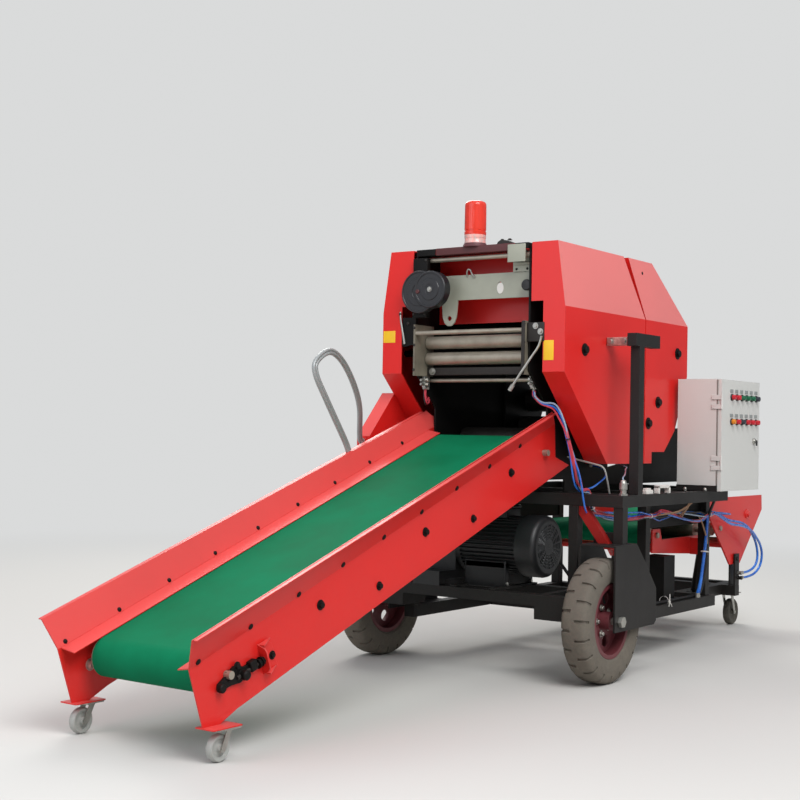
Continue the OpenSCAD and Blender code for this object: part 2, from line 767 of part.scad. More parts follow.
// A free loop of hose from the bundle's end to a fitting on the table's near ear
loop_r = 6;
loop_route = [bundle_end + [seat, 0, 0], [1350, -411, 583], [1435, -410, 556], [1527, -406, 531], [1625, -402, 521],
    [1719, -398, 509], [1815, -393, 486], [1894, -388, 449], [1965, -382, 406], [2004, -376, 355], [2004, -367, 300],
    [1955, -358, 264], [1875, -353, 252], [loop_end_x, -350, 252]];

module hose_loop() {
    color("#2c62c0") hose(smooth_line(loop_route, 3), loop_r, 8);
}

// Control cabinet with its door on the near side
cab_x = 820;
cab_y = -448;
cab_z = deck_z;
lock_x = 1180;

hinge_rows = [90, 350];
cab_front = cab_y - cab_d;

// One knuckle of a hinge outside the cabinet's front edge, from a height up
module knuckle(z0, z1) {
    translate([cab_x, cab_front, cab_z]) {
        translate([0, 0, z0]) cylinder(r = 5, h = z1 - z0);
    }
}

module cabinet() {
    for (z = hinge_rows) color(grey) {
        knuckle(z, z + 19.7);
        knuckle(z + 40.3, z + 60);
        box(cab_x - 4, cab_x, cab_front + 2, cab_front + 44, cab_z + z, cab_z + z + 19.7);
        box(cab_x - 4, cab_x, cab_front + 2, cab_front + 44, cab_z + z + 40.3, cab_z + z + 60);
    }
    color(grey) difference() {
        box(cab_x, cab_x + cab_l, cab_y, cab_y - cab_d + door_t, cab_z, cab_z + cab_h);
        box(cab_x + cab_t, cab_x + cab_l - cab_t, cab_y - cab_t, cab_y - cab_d, cab_z + cab_t, cab_z + cab_h - cab_t);
    }
}

module cabinet_door() {
    color(grey)
        union() {
            difference() {
                box(cab_x + 1, cab_x + cab_l, cab_front + door_t - 0.5, cab_front, cab_z + 1, cab_z + cab_h - 1);
                for (z = hinge_rows, part = [-0.5, 40])
                    translate([cab_x, cab_front, cab_z + z + part]) cylinder(r = 6, h = 20.5);
            }
            for (z = hinge_rows) knuckle(z + 20, z + 40);
        }
}

module push_buttons() {
    color(black) {
        for (row = [0, 1], i = [0:5])
            rod_y(cab_x + 107 + i * 55, cab_z + cab_h - 75 - row * 105, 15, cab_y - cab_d, cab_y - cab_d - button_h);
        rod_y(cab_x + 360, cab_z + 215, 12, cab_y - cab_d, cab_y - cab_d - 16);
    }
}

module valve_box() {
    color(black) box(890, 1000, -rail_in, -rail_in + 100, rail_top, 412);
}

// Plates beside the bale's way down: a pair clear of the swinging gate, and a pair below the deck's inner tubes
guide_z = 732;
guide_edge = [[1285, 978], [950, 978], [880, 928], [800, 884], [700, 843], [600, 815], [guide_x0, 805]];
panel_y = rail_y - 45;
panel_t = 6;
panel_z = 545;

module bale_guides() {
    color(black)
        for (side = [near, far]) {
            slab_y(concat([[guide_x0, guide_z], [rear_x - 38, guide_z], [rear_x - 38, deck_z + seat],
                [rear_x, deck_z + seat]], guide_edge), side * plate_y, side * plate_out);
            box(upright_x[1] + upright_w + seat, upright_x[2] - seat, side * panel_y, side * (panel_y + panel_t),
                panel_z, deck_z - deck_h - seat);
        }
}

// Short belt under the chamber, on two arms, that carries the bale to the table
arm_outline = [[850, 427], [1440, 390], [1440, 530], [1365, 530], [1350, 482], [945, 482], [925, 530], [850, 530]];
table_in = table_y - table_t / 2;
table_out = table_y + table_t / 2;
lift_roller_r = 38;
lift_rollers_at = [[892, 503], [1396, 503]];

module lift_frame() {
    color(red) {
        for (side = [near, far]) {
            difference() {
                slab_y(arm_outline, side * table_in, side * table_out);
                for (c = lift_rollers_at) rod_y(c[0], c[1], 12.3, side * (table_in - 1), side * (table_out + 1));
            }
            box(upright_x[2], rear_x, side * table_out, side * (rail_y - 50), 400, 476);
        }
        for (x = [980, 1280]) rod_y(x, 434, 16, -table_in, table_in);
    }
}

module roller_pair(places, r) {
    for (c = places) {
        rod_y(c[0], c[1], r, -285, 285);
        rod_y(c[0], c[1], 12, -table_out - 8, table_out + 8);
    }
}

// A belt around two rollers of radius r, from the rear one forwards
module roller_belt(places, r) {
    run = places[1] - places[0];
    translate([places[1][0], 0, places[1][1]]) rotate([0, -atan2(run[1], run[0]), 0])
        belt_loop(norm(run), r + belt_t + seat, 270);
}

module lift_rollers() {
    color(pale_steel) roller_pair(lift_rollers_at, lift_roller_r);
}

module lift_belt() {
    color(green) roller_belt(lift_rollers_at, lift_roller_r);
}

// Bale table: two side plates on a pivot, with cross tubes and two belted rollers
table_outline = [[1450, 650], [1462, 565], [1718, 320], [1845, 320], [table_tip_x, 577], [table_tip_x - 5, 650]];
table_rollers_at = [[1592, 503], [1931, 559]];

module table_frame() {
    color(red) {
        for (side = [near, far]) difference() {
            slab_y(table_outline, side * table_in, side * table_out);
            rod_y(pivot_x, pivot_z, pin_r + 0.05, side * (table_in - 1), side * (table_out + 1));
            for (c = table_rollers_at) rod_y(c[0], c[1], 12.3, side * (table_in - 1), side * (table_out + 1));
        }
        rod_y(cyl_eye[0], cyl_eye[1], eye_pin_r, -table_in, cyl_y + 14);
        for (x = [1715, 1860]) rod_y(x, 420, 20, -table_in, table_in);
    }
}

module table_rollers() {
    color(pale_steel) roller_pair(table_rollers_at, lift_roller_r);
}

module table_belt() {
    color(green) roller_belt(table_rollers_at, lift_roller_r);
}

// Lifting cylinder of the table, from the frame to a pin on the near side plate
cyl_x = 1375;
cyl_y = -290;
cyl_z = 190;
cyl_eye = [1510, 560];
cyl_len = norm(cyl_eye - [cyl_x, cyl_z]);
cyl_lean = atan2(cyl_eye[0] - cyl_x, cyl_eye[1] - cyl_z);
cyl_r = 20;
cyl_rod_r = 9;
eye_pin_r = 8;

module on_cylinder() {
    translate([cyl_x, cyl_y, cyl_z]) rotate([0, cyl_lean, 0]) children();
}

module cylinder_barrel() {
    color(black) on_cylinder() {
        difference() {
            translate([0, 0, 30]) cylinder(r = cyl_r, h = 214);
            translate([0, 0, 46]) cylinder(r = cyl_rod_r + 0.06, h = 240);
        }
        difference() {
            union() {
                rod_y(0, 0, 17, -9, 9);
                box(-12, 12, -9, 9, 10, 32);
            }
            rod_y(0, 0, 8.06, -10, 10);
        }
    }
}

module cylinder_rod() {
    color("silver") on_cylinder() {
        translate([0, 0, 60]) cylinder(r = cyl_rod_r, h = cyl_len - 60 - 15);
        translate([0, 0, cyl_len]) difference() {
            rod_y(0, 0, 18, -8, 8);
            rod_y(0, 0, eye_pin_r + 3, -9, 9);
        }
    }
}

// The model's middle, from its outermost points: the conveyor's tip, the table's tip, the buttons and the axle nut
near_y = cab_y - cab_d - button_h;
far_y = fork_out + 0.2 + nut_h;
mid_x = (along(board_s0, rise_front)[0] + table_tip_x) / 2;
mid_y = (far_y + near_y) / 2;

place() {
    lower_frame();
    front_beam();
    rear_frame();
    uprights();
    upper_frame();
    side_posts();
    wheel_forks();
    axles();
    caster_plates();
    union() {  // conveyor_sides
        conveyor_side(near);
        conveyor_side(far);
    }
    conveyor_bed();
    conveyor_belt();
    conveyor_drums();
    take_ups();
    chamber_plates();
    chamber_rollers();
    top_sheet();
    net_side_plates();
    net_rods();
    net_rollers();
    net_cross_plate();
    net_valves();
    pulley_guard();
    beacon_base();
    beacon_lens();
    union() {  // covers
        cover_shell(fixed_outline, near);
        cover_shell(fixed_outline, far);
    }
    motor();
    gearbox();
    drive_guard();
    hoop();
    air_hoses();
    hose_loop();
    cabinet();
    valve_box();
    union() {  // gate_covers
        cover_shell(gate_outline, near);
        cover_shell(gate_outline, far);
    }
    gate_plates();
    gate_rollers();
    cabinet_door();
    push_buttons();
    bale_guides();
    lift_frame();
    lift_rollers();
    lift_belt();
    table_frame();
    table_rollers();
    table_belt();
    cylinder_barrel();  // cylinder
    cylinder_rod();
    tyre(near);  // tyre_near
    tyre(far);  // tyre_far
    rim(near);  // rim_near
    rim(far);  // rim_far
    caster_fork(cast_f, near, -1);  // front_fork_near
    caster_fork(cast_f, far, -1);  // front_fork_far
    caster_fork(cast_r, near, 1);  // rear_fork_near
    caster_fork(cast_r, far, 1);  // rear_fork_far
    caster_wheel(cast_f, near, -1);  // front_wheel_near
    caster_wheel(cast_f, far, -1);  // front_wheel_far
    caster_wheel(cast_r, near, 1);  // rear_wheel_near
    caster_wheel(cast_r, far, 1);  // rear_wheel_far
}
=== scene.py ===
"""Looks of a wheeled round baler with a sloping feed conveyor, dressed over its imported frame."""

import math

import bpy
import numpy as np
from mathutils import Matrix


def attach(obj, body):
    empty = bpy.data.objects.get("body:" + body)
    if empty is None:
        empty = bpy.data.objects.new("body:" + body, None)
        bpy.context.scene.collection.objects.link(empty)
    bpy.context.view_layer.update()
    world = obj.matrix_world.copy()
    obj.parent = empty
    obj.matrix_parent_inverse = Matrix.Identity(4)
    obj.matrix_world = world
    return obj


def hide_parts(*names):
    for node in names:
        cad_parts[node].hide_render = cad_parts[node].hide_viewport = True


bl_info = {
    "name": "Round baler looks",
    "version": (1, 0, 0),
    "blender": (4, 5, 0),
    "location": "3D View > Sidebar > Baler",
    "description": "Builds the finishes and small parts of a wheeled round baler over its fixed frame",
    "category": "Object"}

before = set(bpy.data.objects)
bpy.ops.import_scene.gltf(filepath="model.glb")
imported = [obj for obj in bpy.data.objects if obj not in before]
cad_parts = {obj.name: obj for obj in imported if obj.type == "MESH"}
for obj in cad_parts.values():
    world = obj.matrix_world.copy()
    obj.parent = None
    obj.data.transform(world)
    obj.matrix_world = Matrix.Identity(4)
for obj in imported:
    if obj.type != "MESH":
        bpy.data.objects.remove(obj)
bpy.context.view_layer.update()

# The part's source measures along X from the wheel axle and across Y from the machine's middle, in
# millimetres.
MID_X = 70.0763
MID_Y = -27.9
SLOPE = math.radians(19.4)
HEAD = (-48.0, 926.0)
AXLE_Z = 237.5
TRACK_Y = 521
DOOR_Y = -648
DECK_Z = 710
BUNDLE_Y = -411.3

# The photograph's camera, and the steps that the tyres' mesh has for each of their slots
EYE = (-4733, -2972.4, 935)
FOCAL_LENGTH = 62.30
STEPS_PER_SLOT = 36


def at(x, y, z):
    """A place in the part's millimetres, as metres in the row frame."""
    return np.stack(np.broadcast_arrays((np.asarray(x, float) - MID_X) / 1000,
                                        (np.asarray(y, float) - MID_Y) / 1000, np.asarray(z, float) / 1000),
                    axis=-1)


def on_belt(s, y, n):
    """A place on the sloping conveyor: s up the slope, y across and n above the belt."""
    s, n = np.asarray(s, float), np.asarray(n, float)
    return at(HEAD[0] + s * math.cos(SLOPE) - n * math.sin(SLOPE), y,
              HEAD[1] + s * math.sin(SLOPE) + n * math.cos(SLOPE))


# Sizes and colours that a user may change

class BalerSizes(bpy.types.PropertyGroup):
    tread_depth: bpy.props.FloatProperty(name="Tread depth",
                                         description="Depth of the slots across the tyres' shoulders",
                                         default=0.008, min=0.0, max=0.02, unit="LENGTH")
    tread_slots: bpy.props.IntProperty(name="Tread slots",
                                       description="Slots around each shoulder of a main tyre", default=20,
                                       min=8, max=40)
    bolt_radius: bpy.props.FloatProperty(name="Bolt radius",
                                         description="Across the washers of the conveyor's bolts, halved",
                                         default=0.0095, min=0.004, max=0.02, unit="LENGTH")
    hose_radius: bpy.props.FloatProperty(name="Hose radius",
                                         description="Radius of the thin air hoses in the bundle",
                                         default=0.0036, min=0.002, max=0.005, unit="LENGTH")
    button_radius: bpy.props.FloatProperty(name="Button radius",
                                           description="Radius of the push buttons' bezels", default=0.0148,
                                           min=0.008, max=0.02, unit="LENGTH")


class BalerColours(bpy.types.PropertyGroup):
    panel: bpy.props.StringProperty(name="Panels",
                                    description="Enamel of the covers and conveyor, as an sRGB hex value",
                                    default="#D8211E")
    chassis: bpy.props.StringProperty(name="Chassis", description="Paint of the frame, as an sRGB hex value",
                                      default="#1A1919")
    belt: bpy.props.StringProperty(name="Belt", description="Colour of the belting, as an sRGB hex value",
                                   default="#0C6743")
    cabinet: bpy.props.StringProperty(name="Cabinet",
                                      description="Powder coat of the cabinet, as an sRGB hex value",
                                      default="#CDCDC9")
    sage: bpy.props.StringProperty(name="Net unit", description="Paint of the net unit, as an sRGB hex value",
                                   default="#989A8C")


def settings():
    """The sizes and colours as they stand in the scene."""
    return bpy.context.scene.baler_sizes, bpy.context.scene.baler_colours


# Finishes

FINISHES = {}
DUST = "#9A8E7A"
# The pale pink mixed onto the faces that lean back is a painted sky reflection
PAINTED_SKY_SHEEN = "#F4C4C0"
BACKDROP = "#E2E3E3"
BACKDROP_STRENGTH = 0.92

# Sockets of the colour Mix node, whose names repeat
MIX_A, MIX_B, MIX_RESULT = 6, 7, 2


def linear(code):
    """An sRGB hex value as linear red, green, blue and 1."""
    c = np.array([int(code[i:i + 2], 16) / 255 for i in (1, 3, 5)])
    return (*np.where(c <= 0.04045, c / 12.92, ((c + 0.055) / 1.055) ** 2.4), 1.0)


def add(tree, kind, links=(), inputs=(), **settings_):
    """Adds a node: settings go on the node, inputs give its sockets' values, links give (socket, node,
    output)."""
    made = tree.nodes.new("ShaderNode" + kind)
    for key, value in settings_.items():
        setattr(made, key, value)
    for socket, value in dict(inputs).items():
        made.inputs[socket].default_value = value
    for socket, source, output in links:
        tree.links.new(source.outputs[output], made.inputs[socket])
    return made


def ramp(tree, source, output, stops):
    """A colour ramp over (place, grey or colour) stops."""
    made = add(tree, "ValToRGB", [("Fac", source, output)])
    while len(made.color_ramp.elements) < len(stops):
        made.color_ramp.elements.new(0.5)
    for element, (place, value) in zip(made.color_ramp.elements, stops):
        element.position = place
        element.color = value if isinstance(value, tuple) else (value, value, value, 1)
    return made


def overlay(tree, below, factor, code):
    """Mixes a flat colour over what lies below; below and factor are (node, output) pairs."""
    mixed = add(tree, "Mix", [("Factor", *factor), (MIX_A, *below)], {MIX_B: linear(code)}, data_type="RGBA")
    return mixed, MIX_RESULT


def dusted(tree, coords, specks, below, rough, dust, dust_top):
    """Field dust in specks, a quarter as thick at dust_top metres as at the ground; it also dulls the
    surface."""
    place = add(tree, "SeparateXYZ", [("Vector", coords, "Object")])
    height = add(tree, "MapRange", [("Value", place, "Z")],
                 {"From Min": 0.0, "From Max": dust_top, "To Min": 1.0, "To Max": 0.25})
    thick = ramp(tree, specks, "Fac", [(0.35, 0.25), (0.75, 1.0)])
    amount = add(tree, "Math", [(0, height, 0), (1, thick, "Color")], operation="MULTIPLY")
    scaled = add(tree, "Math", [(0, amount, 0)], {1: dust}, operation="MULTIPLY")
    dull = add(tree, "Mix", [(0, scaled, 0), (2, rough, 0)], {3: 0.9}, data_type="FLOAT")
    return overlay(tree, below, (scaled, 0), DUST), dull


def chipped(tree, coords, below, scratch, worn):
    """Small chips of the worn colour, strewn by a fine noise."""
    chips = add(tree, "TexNoise", [("Vector", coords, "Object")],
                {"Scale": 140.0, "Detail": 10.0, "Roughness": 0.8})
    spots = ramp(tree, chips, "Fac", [(0.68, 0.0), (0.72, scratch)])
    return overlay(tree, below, (spots, "Color"), worn)


def rubbed(tree, specks, rounded, below, wear, worn):
    """Worn edges: where the rounded normal turns away from the face's own, broken up by specks."""
    face = add(tree, "NewGeometry")
    turn = add(tree, "VectorMath", [(0, rounded, "Normal"), (1, face, "Normal")], operation="DOT_PRODUCT")
    rim = ramp(tree, turn, "Value", [(0.86, wear), (0.985, 0.0)])
    broken = ramp(tree, specks, "Fac", [(0.42, 0.15), (0.6, 1.0)])
    amount = add(tree, "Math", [(0, rim, "Color"), (1, broken, "Color")], operation="MULTIPLY")
    return overlay(tree, below, (amount, 0), worn)


def paint_sky_sheen(tree, below, lean):
    """Faces that lean back under the sky get a painted pale reflection of the sky, by the share lean."""
    face = add(tree, "NewGeometry")
    upward = add(tree, "SeparateXYZ", [("Vector", face, "Normal")])
    tilt = add(tree, "MapRange", [("Value", upward, "Z")],
               {"From Min": 0.05, "From Max": 0.14, "To Min": 0.0, "To Max": lean})
    return overlay(tree, below, (tilt, 0), PAINTED_SKY_SHEEN)


def finish(key, name, code, rough, metallic=0.0, coat=0.0, spec=0.5, grain_mm=2.0, grain=0.1, blotch_mm=300.0,
           blotch=0.08, dust=0.0, dust_top=0.9, ior=1.5, scratch=0.0, edge_mm=0.0, wear=0.0, worn="#7A756E",
           line_mm=0.0, line_axis=1, line=0.0, shade=None, lean=0.0, through=0.0):
    """One procedural finish, kept under its key: a base colour that varies in soft blotches, with fine grain
    as bump and field dust that thins out with height. grain_mm is the size of the grain and blotch_mm that of
    the blotches; edge_mm rounds the edges of sheet and tube, wear rubs them to the worn colour, and line_mm
    gives ribs or brushing across one axis. lean paints a pale sky reflection on the faces that lean back, and
    through lets light into a clear lens."""
    mat = bpy.data.materials.new(name)
    mat.use_nodes = True
    tree = mat.node_tree
    tree.nodes.clear()
    out = add(tree, "OutputMaterial")
    shader = add(tree, "BsdfPrincipled", inputs={"Metallic": metallic, "IOR": ior, "Coat Weight": coat,
                                                 "Coat Roughness": 0.14, "Specular IOR Level": spec,
                                                 "Transmission Weight": through})
    tree.links.new(shader.outputs[0], out.inputs[0])
    coords = add(tree, "TexCoord")
    wide = add(tree, "TexNoise", [("Vector", coords, "Object")],
               {"Scale": 1000 / blotch_mm, "Detail": 5.0, "Roughness": 0.6})
    low = tuple(max(0.0, c * (1 - blotch)) for c in linear(code)[:3]) + (1,)
    high = tuple(min(1.0, c * (1 + blotch)) for c in linear(shade or code)[:3]) + (1,)
    colour = ramp(tree, wide, "Fac", [(0.3, low), (0.7, high)]), "Color"
    dull = ramp(tree, wide, "Fac", [(0.3, max(0.03, rough - 0.06)), (0.7, min(1.0, rough + 0.06))])
    specks = add(tree, "TexNoise", [("Vector", coords, "Object")],
                 {"Scale": 70.0, "Detail": 8.0, "Roughness": 0.7})
    if dust:
        colour, dull = dusted(tree, coords, specks, colour, dull, dust, dust_top)
    if scratch:
        colour = chipped(tree, coords, colour, scratch, worn)
    rounded = add(tree, "Bevel", inputs={"Radius": edge_mm / 1000}, samples=4) if edge_mm else None
    if wear:
        colour = rubbed(tree, specks, rounded, colour, wear, worn)
    # The faces that lean back get a painted pale reflection of the sky
    if lean:
        colour = paint_sky_sheen(tree, colour, lean)
    tree.links.new(colour[0].outputs[colour[1]], shader.inputs["Base Color"])
    tree.links.new(dull.outputs[0], shader.inputs["Roughness"])
    fine = add(tree, "TexNoise", [("Vector", coords, "Object")],
               {"Scale": 1000 / grain_mm, "Detail": 4.0, "Roughness": 0.55})
    bump = add(tree, "Bump", [("Height", fine, "Fac")],
               {"Strength": grain, "Distance": grain_mm / 1000 * 0.4})
    if rounded:
        tree.links.new(rounded.outputs[0], bump.inputs["Normal"])
    if line_mm:
        ribs = add(tree, "TexWave", [("Vector", coords, "Object")],
                   {"Scale": 1000 / line_mm / math.tau, "Distortion": 0.4}, wave_type="BANDS",
                   bands_direction="XYZ"[line_axis])
        bump = add(tree, "Bump", [("Height", ribs, "Fac"), ("Normal", bump, "Normal")],
                   {"Strength": line, "Distance": 0.0005})
    tree.links.new(bump.outputs[0], shader.inputs["Normal"])
    FINISHES[key] = mat


def make_finishes():
    """Makes every finish. Its comment says what the real surface is and what that gives the eye."""
    _, colours = settings()
    # Baked enamel on folded steel sheet: a wet gloss with a faint orange peel, rubbed paler along its cut
    # edges, with a faint painted sky reflection on the faces that lean back
    finish("enamel", "Red baked enamel", colours.panel, 0.36, coat=0.12, spec=0.28, grain_mm=3.0, grain=0.04,
           blotch_mm=500, blotch=0.05, dust=0.05, dust_top=1.1, edge_mm=2.0, wear=0.30, worn="#F08A80",
           lean=0.10)
    # The side covers get a stronger painted sky reflection on the faces that lean back
    finish("cover", "Red enamel with painted sky sheen", colours.panel, 0.34, coat=0.16, spec=0.3, grain_mm=3.0, grain=0.04,
           blotch_mm=500, blotch=0.05, dust=0.03, dust_top=1.1, edge_mm=2.0, wear=0.30, worn="#F08A80",
           lean=0.34)
    # Enamel on square tube, darkened to a dull dark red as painted shade of the deck
    finish("brace", "Shaded red enamel", "#8E1513", 0.5, spec=0.25, grain_mm=3.0, grain=0.06, dust=0.04)
    # Drawn tube under thin grey paint: pale, with a soft metal gleam
    finish("tube", "Pale bent tube", "#9DA0A0", 0.38, metallic=0.25, grain_mm=1.0, grain=0.05)
    # Red enamel darkened to nearly maroon as painted shade of the mouth, and dusty from the crop
    finish("maroon", "Shaded maroon enamel", "#4E1A1E", 0.5, grain_mm=3.0, grain=0.05, dust=0.10,
           dust_top=2.0)
    # Brushed-on chassis paint over rolled tube: half matt, a little dusty, thin at the corners
    finish("chassis", "Dark chassis paint", colours.chassis, 0.52, spec=0.28, grain_mm=2.5, grain=0.08,
           dust=0.035, dust_top=0.9, scratch=0.10, edge_mm=3.0, wear=0.35, worn="#5C5955")
    # Spray paint on steel: nearly black and half matt, with light scratches
    finish("black", "Black spray paint", "#0B0A0A", 0.55, spec=0.18, grain_mm=2.0, grain=0.08, dust=0.02,
           scratch=0.06, edge_mm=1.5, wear=0.2, worn="#4A4744")
    # Hot rolled steel that handling has worn: dark, with an uneven gleam
    finish("dark_steel", "Dark worn steel", "#2A2726", 0.5, metallic=0.5, grain_mm=1.0, grain=0.1,
           blotch_mm=60, blotch=0.2, dust=0.08, dust_top=2.0)
    # PVC conveyor belting: matt, slightly waxy, with a fine weave under the skin, whose ribs are drawn 2.4 mm
    # apart so that they show
    finish("belting", "Green PVC belting", colours.belt, 0.7, spec=0.04, grain_mm=1.2, grain=0.10,
           blotch_mm=260, blotch=0.07, shade="#10704C", line_mm=2.4, line_axis=1, line=0.08)
    # Powder coat baked on folded sheet: a fine, even orange peel and soft edges
    finish("powder", "Grey powder coat", colours.cabinet, 0.42, grain_mm=1.2, grain=0.10, blotch=0.03,
           blotch_mm=400, dust=0.03, edge_mm=2.5)
    # Extruded rubber strip: flat grey without a gleam
    finish("gasket", "Grey door gasket", "#7C7772", 0.8, grain_mm=1.0, grain=0.1)
    # Sprayed paint on welded plate: half gloss, chipped down to dull metal
    finish("sage", "Grey green paint", colours.sage, 0.42, grain_mm=2.0, grain=0.08, blotch=0.08,
           blotch_mm=120, dust=0.06, dust_top=2.0, scratch=0.2, edge_mm=1.5, wear=0.4, worn="#6E675C")
    # The net unit's side plates are grimy with grease and old paint
    finish("grimy", "Grimy grey paint", "#6E685B", 0.55, grain_mm=2.0, grain=0.14, blotch=0.30, blotch_mm=70,
           dust=0.10, dust_top=2.0, scratch=0.5, edge_mm=1.5, wear=0.5, worn="#4A342A")
    # Drawn steel worn satin by crop, with thin rust bloom and with turning marks, drawn 1.6 mm apart so that
    # they show
    finish("satin", "Satin worn steel", "#A39B8D", 0.42, metallic=0.55, grain_mm=1.0, grain=0.10,
           blotch_mm=50, blotch=0.16, dust=0.10, dust_top=2.0, line_mm=1.6, line_axis=1, line=0.15)
    # Zinc plating on pressed and turned steel: pale, with a cloudy gleam
    finish("zinc", "Zinc plated steel", "#A9A8A2", 0.36, metallic=0.85, grain_mm=1.0, grain=0.08,
           blotch_mm=25, blotch=0.18, dust=0.08, dust_top=1.0)
    # Zinc plating that caught red overspray: a mottled, pinkish gleam
    finish("link", "Pink overspray on zinc", "#B99A92", 0.40, metallic=0.45, grain_mm=1.5, grain=0.15,
           blotch_mm=18, blotch=0.35, dust=0.05)
    # Enamel on sand cast iron: a pebbly skin, rubbed at its high edges
    finish("casting", "Enamelled casting", "#131518", 0.46, grain_mm=1.8, grain=0.22, dust=0.03, blotch=0.10,
           edge_mm=2.0, wear=0.2, worn="#4A4D50")
    # Sprayed paint on pressed sheet: blue black in soft patches
    finish("guard", "Blue black guard paint", "#17191F", 0.40, grain_mm=1.5, grain=0.08, blotch=0.18,
           blotch_mm=60, dust=0.04, dust_top=3.0)
    # Moulded rubber under field dust: matt grey brown, palest low down
    finish("tyre", "Dusty tyre rubber", "#625D56", 0.86, spec=0.3, grain_mm=1.4, grain=0.25, blotch_mm=120,
           blotch=0.12, dust=0.32, dust_top=0.6)
    # Enamel on pressed discs: dark red, dulled by dust and rubbed at the edges
    finish("rim", "Dark red rim enamel", "#6A2A33", 0.5, grain_mm=2.5, grain=0.10, dust=0.10, dust_top=0.5,
           edge_mm=2.0, wear=0.3, worn="#9A6A6C")
    # Moulded nylon: pale and waxy, dusty near the ground
    finish("nylon", "Pale nylon", "#A3A5A1", 0.45, grain_mm=1.5, grain=0.08, dust=0.12, dust_top=0.2)
    # Moulded rubber: dark grey, dusty near the ground
    finish("wheel_rubber", "Grey caster rubber", "#34332F", 0.7, grain_mm=1.5, grain=0.2, dust=0.25,
           dust_top=0.3)
    # Injection moulded plastic: smooth, with an even sheen
    finish("white", "White moulded plastic", "#D4D0CA", 0.38, grain_mm=1.0, grain=0.04, blotch=0.03)
    # A clear moulded foot over red wiring: pale, with reddish blotches behind the gloss
    finish("blotchy", "Clear base over red wiring", "#DAD2CC", 0.25, grain_mm=1.0, grain=0.04, blotch_mm=9,
           blotch=0.30, shade="#E08A80", coat=0.5)
    # A cast flange under primer: dull brown with a rough skin
    finish("foot", "Brown cast flange", "#5A3034", 0.55, grain_mm=1.5, grain=0.15, blotch=0.2, blotch_mm=30)
    # Coated aluminium plates: smooth and flat in colour
    finish("yellow", "Blank yellow plate", "#EDBB12", 0.4, grain_mm=1.0, grain=0.03, blotch=0.05)
    finish("label", "Blank grey button plate", "#8E9290", 0.4, grain_mm=1.0, grain=0.03, blotch=0.04)
    # Extruded polyurethane hoses: glossy and lightly clouded
    finish("blue_hose", "Blue polyurethane hose", "#1554B4", 0.28, coat=0.3, grain_mm=1.0, grain=0.03,
           blotch=0.08, blotch_mm=60, shade="#2A78D8")
    finish("red_hose", "Red polyurethane hose", "#B83A48", 0.32, grain_mm=1.0, grain=0.03, blotch=0.08,
           blotch_mm=60)
    finish("pale_hose", "Clear polyurethane hose", "#8FA3B8", 0.25, coat=0.3, grain_mm=1.0, grain=0.03,
           blotch=0.08)
    # An extruded cable sheath and rubber hose: smooth and half matt
    finish("tan_cable", "Tan cable sheath", "#96755A", 0.5, grain_mm=1.0, grain=0.05, blotch=0.08)
    finish("black_hose", "Black rubber hose", "#191818", 0.55, grain_mm=1.0, grain=0.10, blotch=0.1)
    # Moulded plastic: black, with a soft sheen
    finish("knob", "Black moulded plastic", "#161616", 0.4, grain_mm=1.0, grain=0.05, blotch=0.05)
    # Moulded button caps: clean colours with a soft gloss
    for key, code in (("red", "#C01E2C"), ("green", "#155F40"), ("dark", "#30343C"), ("amber", "#D8801C")):
        finish("button_" + key, "Button " + key, code, 0.28, grain_mm=0.8, grain=0.02, blotch=0.03)
    # Moulded acrylic: a clear red that lets a part of the light through
    finish("lens", "Red lens plastic", "#EE4230", 0.2, grain_mm=1.0, grain=0.02, blotch=0.03, ior=1.49,
           through=0.3)


# Surfaces

def grid(points, loop_u=False, loop_v=False, cap=False):
    """A surface from a grid of points, row by row. Rows or columns may close on themselves; cap fills the
    first and the last row with one face each."""
    nu, nv = points.shape[:2]
    index = np.arange(nu * nv).reshape(nu, nv)
    u = index if not loop_u else np.vstack([index, index[:1]])
    uv = u if not loop_v else np.hstack([u, u[:, :1]])
    faces = np.stack([uv[:-1, :-1], uv[1:, :-1], uv[1:, 1:], uv[:-1, 1:]], axis=-1).reshape(-1, 4)
    polygons = [faces]
    if cap:
        polygons += [index[:1, ::-1], index[-1:, :]]
    return points.reshape(-1, 3), [p for p in polygons if len(p)]


def outward(shape):
    """The same closed shape with its faces turned outwards, by the sign of the volume its faces enclose."""
    verts, polygons = shape
    volume = 0.0
    for p in polygons:
        a = verts[p[:, 0]]
        for k in range(1, p.shape[1] - 1):
            volume += np.einsum("ij,ij->i", a, np.cross(verts[p[:, k]], verts[p[:, k + 1]])).sum()
    return (verts, [p[:, ::-1] for p in polygons]) if volume < 0 else shape


def revolve(profile, centre, axis, steps=48, bend=None, ring=False):
    """A profile of (along, radius) rows carried once around an axis. bend gives new rows from (along, radius,
    turn). A ring's last row meets its first, and leaves the middle open."""
    profile = np.asarray(profile, float)
    turn = np.linspace(0, 2 * math.pi, steps, endpoint=False)
    along = profile[:, :1] * np.ones_like(turn)
    radius = profile[:, 1:] * np.ones_like(turn)
    if bend is not None:
        along, radius = bend(along, radius, turn[None, :])
    w = np.asarray(axis, float) / np.linalg.norm(axis)
    u = np.cross(w, (0, 0, 1) if abs(w[2]) < 0.9 else (1, 0, 0))
    u /= np.linalg.norm(u)
    v = np.cross(w, u)
    points = (np.asarray(centre, float) + along[..., None] * w
              + radius[..., None] * (np.cos(turn)[None, :, None] * u + np.sin(turn)[None, :, None] * v))
    return outward(grid(points, loop_u=ring, loop_v=True, cap=not ring))


